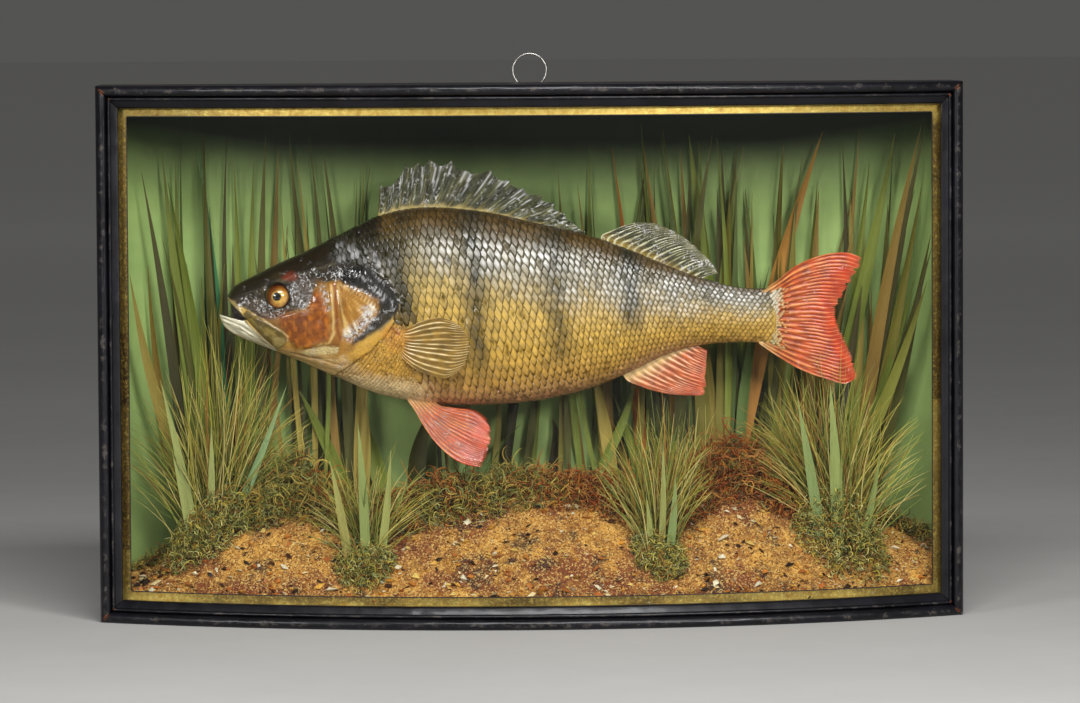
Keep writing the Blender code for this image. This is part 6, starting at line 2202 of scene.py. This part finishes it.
PECTORAL = (
    ((108.3, -4.5), (107.5, -11), (108.3, -17.5)),
    ((108.3, -4.5), (113, -3.4), (121.5, 0.8), (132.4, 3.5), (142.7, 0.6)),
    ((142.7, 0.6), (149.3, -6), (151.4, -14), (149.2, -23), (144.3, -29.7)),
    ((108.3, -17.5), (111, -21.5), (117, -26.7), (127.4, -31.5), (136.4, -33.4), (144.3, -29.7)),
)

GREY = ((158, 130, 40), (80, 80, 40), (232, 226, 184), (104, 102, 64))
PALE_RED = ((240, 208, 136), (206, 106, 58), (255, 214, 168), (206, 80, 34))
AMBER = ((206, 142, 52), (166, 128, 48), (255, 236, 184), (164, 128, 52))


def in_middle(x, z):
    return 0


def beside_belly(x, z):
    return 6.5 + 0.36 * (-48 - z)


def beside_gills(x, z):
    return 29.3 + 0.12 * (z + 10) + 0.12 * (x - 114) - 0.7 * np.maximum(0, 114 - x)


part = make_fin(SOFT_DORSAL, 15, in_middle, (0.55, 0.30), GREY, 101, 0.25, 1.35, 2.8)
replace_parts(put_fin("soft_dorsal_fin", [part], GREY_FIN, 0.55), "fish_dorsal_fin_soft")
part = make_fin(ANAL, 12, in_middle, (0.7, 0.35), PALE_RED, 103, 0.4, 1.1, 2.2)
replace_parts(put_fin("anal_fin", [part], RED_FIN, 0.1), "fish_anal_fin")
part = make_fin(CAUDAL, 17, in_middle, (2.4, 0.35), RED, 105, 0.45, 0.95, 1.3, rows=60)
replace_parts(put_fin("tail_fin", [part], RED_FIN, 0.12), "fish_caudal_fin")
for side, sign in (("left", -1), ("right", 1)):
    part = make_fin(
        PELVIC, 7, lambda x, z: sign * beside_belly(x, z), (1.0, 0.35), RED, 107 + sign, 0.3, 0.95, 2.0,
    )
    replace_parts(put_fin(f"pelvic_fin_{side}", [part], RED_FIN, 0.15), f"fish_pelvic_fin_{side}")
    part = make_fin(
        PECTORAL, 11, lambda x, z: sign * beside_gills(x, z), (0.8, 0.25), AMBER, 113 + sign,
        0.62, 1.4, 3.6, wave=0.3,
    )
    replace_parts(put_fin(f"pectoral_fin_{side}", [part], AMBER_FIN), f"fish_pectoral_fin_{side}")

# %% [markdown]
# ## Scales on the tail's root
#
# The body's scales don't stop at the tail's root. They run out over the base of the tail
# fin, smaller and fewer, and take on its red. These small plates lie flat on the fin's
# two faces, in the same lattice, and thin out by chance towards the rays.

# %% Scales on the tail's root
ROOT_TINTS = ((0.0, (190, 172, 122)), (0.35, (204, 160, 100)), (0.7, (210, 124, 66)), (1.0, (200, 92, 42)))
draw = np.random.default_rng(131)
for side, sign in (("left", -1), ("right", 1)):
    row, step = np.meshgrid(np.arange(-13, 15), np.arange(0, 7))
    x = 334.6 + 2.1 * step + 1.05 * (row % 2) + draw.normal(0, 0.2, row.shape)
    z = 1.4 + 1.36 * row + draw.normal(0, 0.12, row.shape)
    out = (x - 334.6) / 14
    kept = (np.abs(z - 1.4) < 16.4 + 0.42 * (x - 335)) & (draw.random(row.shape) > 1.3 * out - 0.1)
    x, z, out = x[kept][:, None], z[kept][:, None], out[kept][:, None]
    size = 1 - 0.35 * out
    px = x + np.where(flat_a > 0, 1.3, 2.0) * size * flat_a
    pz = z + (1.36 - 0.2 * out) * size * flat_b + 0.03 * (z - 1.4) * flat_a
    stand = 2.0 - 1.45 * np.clip((x - 335) / 22, 0, 1) ** 0.7
    py = stand + 0.42 * size * (0.6 + 0.4 * flat_a) + 0.16 * (1 - reach**2) - 0.5 * below
    tint = ramp_between(np.clip(out + 0.1 * draw.standard_normal(out.shape), 0, 1), ROOT_TINTS)
    # Upper half paler near the body: the band of painted highlight running on over the tail's root.
    tint = blend(tint, (214, 210, 196), 0.6 * smooth_step(z, 1, 8) * smooth_step(out, 0.6, 0.1))
    # Rims darker than centres, as on the body's scales: partly their own edge, partly painted shade.
    edge = np.where(reach > 0.9, 0.6, np.where(reach > 0.3, 0.95, 1.2))
    colour = np.clip(tint * edge[None, :, None], 0, 1)
    points = xyz(px, sign * py, pz)
    faces = repeated(plate_faces if sign > 0 else turned_round(plate_faces), len(px), PLATE_POINTS)
    over = np.concatenate([px[:, :1] / 360, 0.25 - sign * 0.2 + pz[:, :1] / 400], -1)
    patch = over[:, None] + 0.0015 * np.stack([flat_a, flat_b], -1)[None]
    tail_scales = put_mesh(
        f"tail_root_scales_{side}", in_case(points), faces, SCALE_FINISH, smooth=180, colour=colour,
        uv=patch,
    )

# %% [markdown]
# ## The spiny back fin
#
# The first back fin is fifteen spines with a web between them. The web has dried to a
# dark smoky film that hangs a little between the tips and is crumpled along its edge,
# and each spine is a tapered needle that leans back.

# %% The spiny back fin
SPINES = (
    (97, 98.3, 82.1), (100, 103.1, 82.7), (104, 107.9, 85.4), (109, 113.2, 94.6), (115, 121, 96),
    (123, 128.5, 97.9), (130, 141.4, 96.9), (138, 153, 91.8), (147, 165.4, 91.5),
    (155, 176.5, 85.9), (164, 186.2, 79.9), (173, 196, 76.2), (182, 203.3, 71.1), (193, 210, 64.6),
    (202, 217.2, 57.2), (212, 223.5, 53.0),
)
roots = np.array([(x, back_line(x) - 1.2) for x, _, _ in SPINES])
tips = np.array([(x, z) for _, x, z in SPINES])
tips[1:] = roots[1:] + (tips[1:] - roots[1:]) * 0.985
ROWS, PER_GAP = 34, 12
position = np.linspace(0, len(SPINES) - 1, (len(SPINES) - 1) * PER_GAP + 1)
numbers = np.arange(len(SPINES))
u, v = np.meshgrid(position, np.linspace(0, 1, ROWS))
root = np.stack([np.interp(u, numbers, roots[:, k]) for k in range(2)], -1)
tip = np.stack([np.interp(u, numbers, tips[:, k]) for k in range(2)], -1)
between = 4 * (u % 1) * (1 - u % 1)
crumple = ripple(xyz(u, 0, 0), 0.55, 121)
reach = v * (1 - (0.10 * between + 0.05 * np.maximum(0, crumple)) * v**2)
flat = root + (tip - root) * reach[..., None]
flat[..., 0] += 1.6 * v * (1 - v)
x, z = flat[..., 0], flat[..., 1]
pleats = ripple(xyz(u * 2.2, 0, v * 0.6), 0.7, 122) + 0.6 * ripple(xyz(x, 0, z), 3.2, 123)
sag = 1.5 * between * np.sin(math.pi * np.minimum(v * 1.2, 1)) * np.where(np.floor(u) % 2, 1, -1)
middle = sag * 0.5 + 0.55 * pleats * smooth_step(v, 0.02, 0.4) * np.minimum(1, between + 0.3)
depth = 0.20 + 0.30 * (1 - v) ** 2
strands = ripple(xyz(u * 6.0, 0, v * 0.8), 0.9, 124)
web_tint = blend(paint(70, 70, 36), (150, 150, 96), 0.7 * smooth_step(strands, 0.3, 1.2))
web_tint = web_tint * (1 - 0.72 * smooth_step(strands, -0.1, -0.9))[..., None]
# Painted glints: white streaks on the web's upper part stand for light caught on its crumples.
glints = ripple(xyz(u * 9.0, 0, v * 2.2), 0.9, 125) * (0.7 + 0.5 * crumple)
glinting = smooth_step(glints, 0.42, 0.8) * smooth_step(v, 0.15, 0.7)
web_tint = blend(web_tint, (232, 232, 228), 0.95 * glinting)
web_tint = blend(web_tint, (216, 192, 116), smooth_step(v * (1 + 0.3 * crumple), 0.15, 0.02))
thin = smooth_step(v, 0.80, 1.0) * smooth_step(crumple, 0.1, 0.8)
web_tint = blend(web_tint, (176, 176, 170), 0.6 * thin)
web = closed_sheet(xyz(x, middle - depth, z), xyz(x, middle + depth, z))
parts = [(*web, np.clip(np.concatenate([web_tint.reshape(-1, 3)] * 2), 0, 1))]
NEEDLE_TINTS = ((0.0, (226, 204, 132)), (0.09, (150, 132, 64)), (0.3, (88, 84, 40)), (1.0, (44, 42, 28)))
NEEDLE_RINGS, NEEDLE_SIDES = 12, 10
share = np.linspace(-0.03, 1.0, NEEDLE_RINGS)[:, None]
up = np.clip(share, 0, 1)
round_ = np.linspace(0, 2 * math.pi, NEEDLE_SIDES, endpoint=False)
thickness = 0.85 - 0.68 * up
for (x0, z0), (x1, z1) in zip(roots, tips):
    lean = np.array((x1 - x0, z1 - z0)) / math.hypot(x1 - x0, z1 - z0)
    px = x0 + (x1 - x0) * share + 1.6 * up * (1 - share) + thickness * np.cos(round_) * lean[1]
    pz = z0 + (z1 - z0) * share - thickness * np.cos(round_) * lean[0]
    needle = xyz(px, thickness * np.sin(round_), pz)
    shade = ramp_between(np.broadcast_to(up, px.shape), NEEDLE_TINTS)
    parts.append((needle.reshape(-1, 3), tube_faces(NEEDLE_RINGS, NEEDLE_SIDES), shade.reshape(-1, 3)))
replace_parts(put_fin("spiny_dorsal_fin", parts, GREY_FIN, 0.3), "fish_dorsal_fin_spiny")

# %% [markdown]
# ## The floor
#
# A plain pale floor carries the case and isn't part of it.

# %% The floor
floor_paint, tree, shader = new_finish("pale_floor")
place = tree.place()
colour = tree.group(MOTTLE, Vector=place, Scale=3.0, Dark=paint(178, 177, 174),
                    Light=paint(184, 183, 180))["Color"]
away = tree.add("ShaderNodeVectorMath", {0: place}, operation="LENGTH").outputs["Value"]
colour = tree.mix(tree.spread(away, 1.5, 6.0), colour, paint(245, 244, 240))
feed(tree, shader, Base_Color=colour, Roughness=0.85)
FLOOR_R, FLOOR_SIDES = 60, 96
turn = np.linspace(0, 2 * math.pi, FLOOR_SIDES, endpoint=False)
rim = xyz(60 * np.cos(turn), 60 * np.sin(turn), 0)
mesh = bpy.data.meshes.new("floor")
mesh.from_pydata(rim.tolist(), [], [list(range(FLOOR_SIDES))])
mesh.materials.append(floor_paint)
floor_disc = bpy.data.objects.new("floor", mesh)
scene.collection.objects.link(floor_disc)
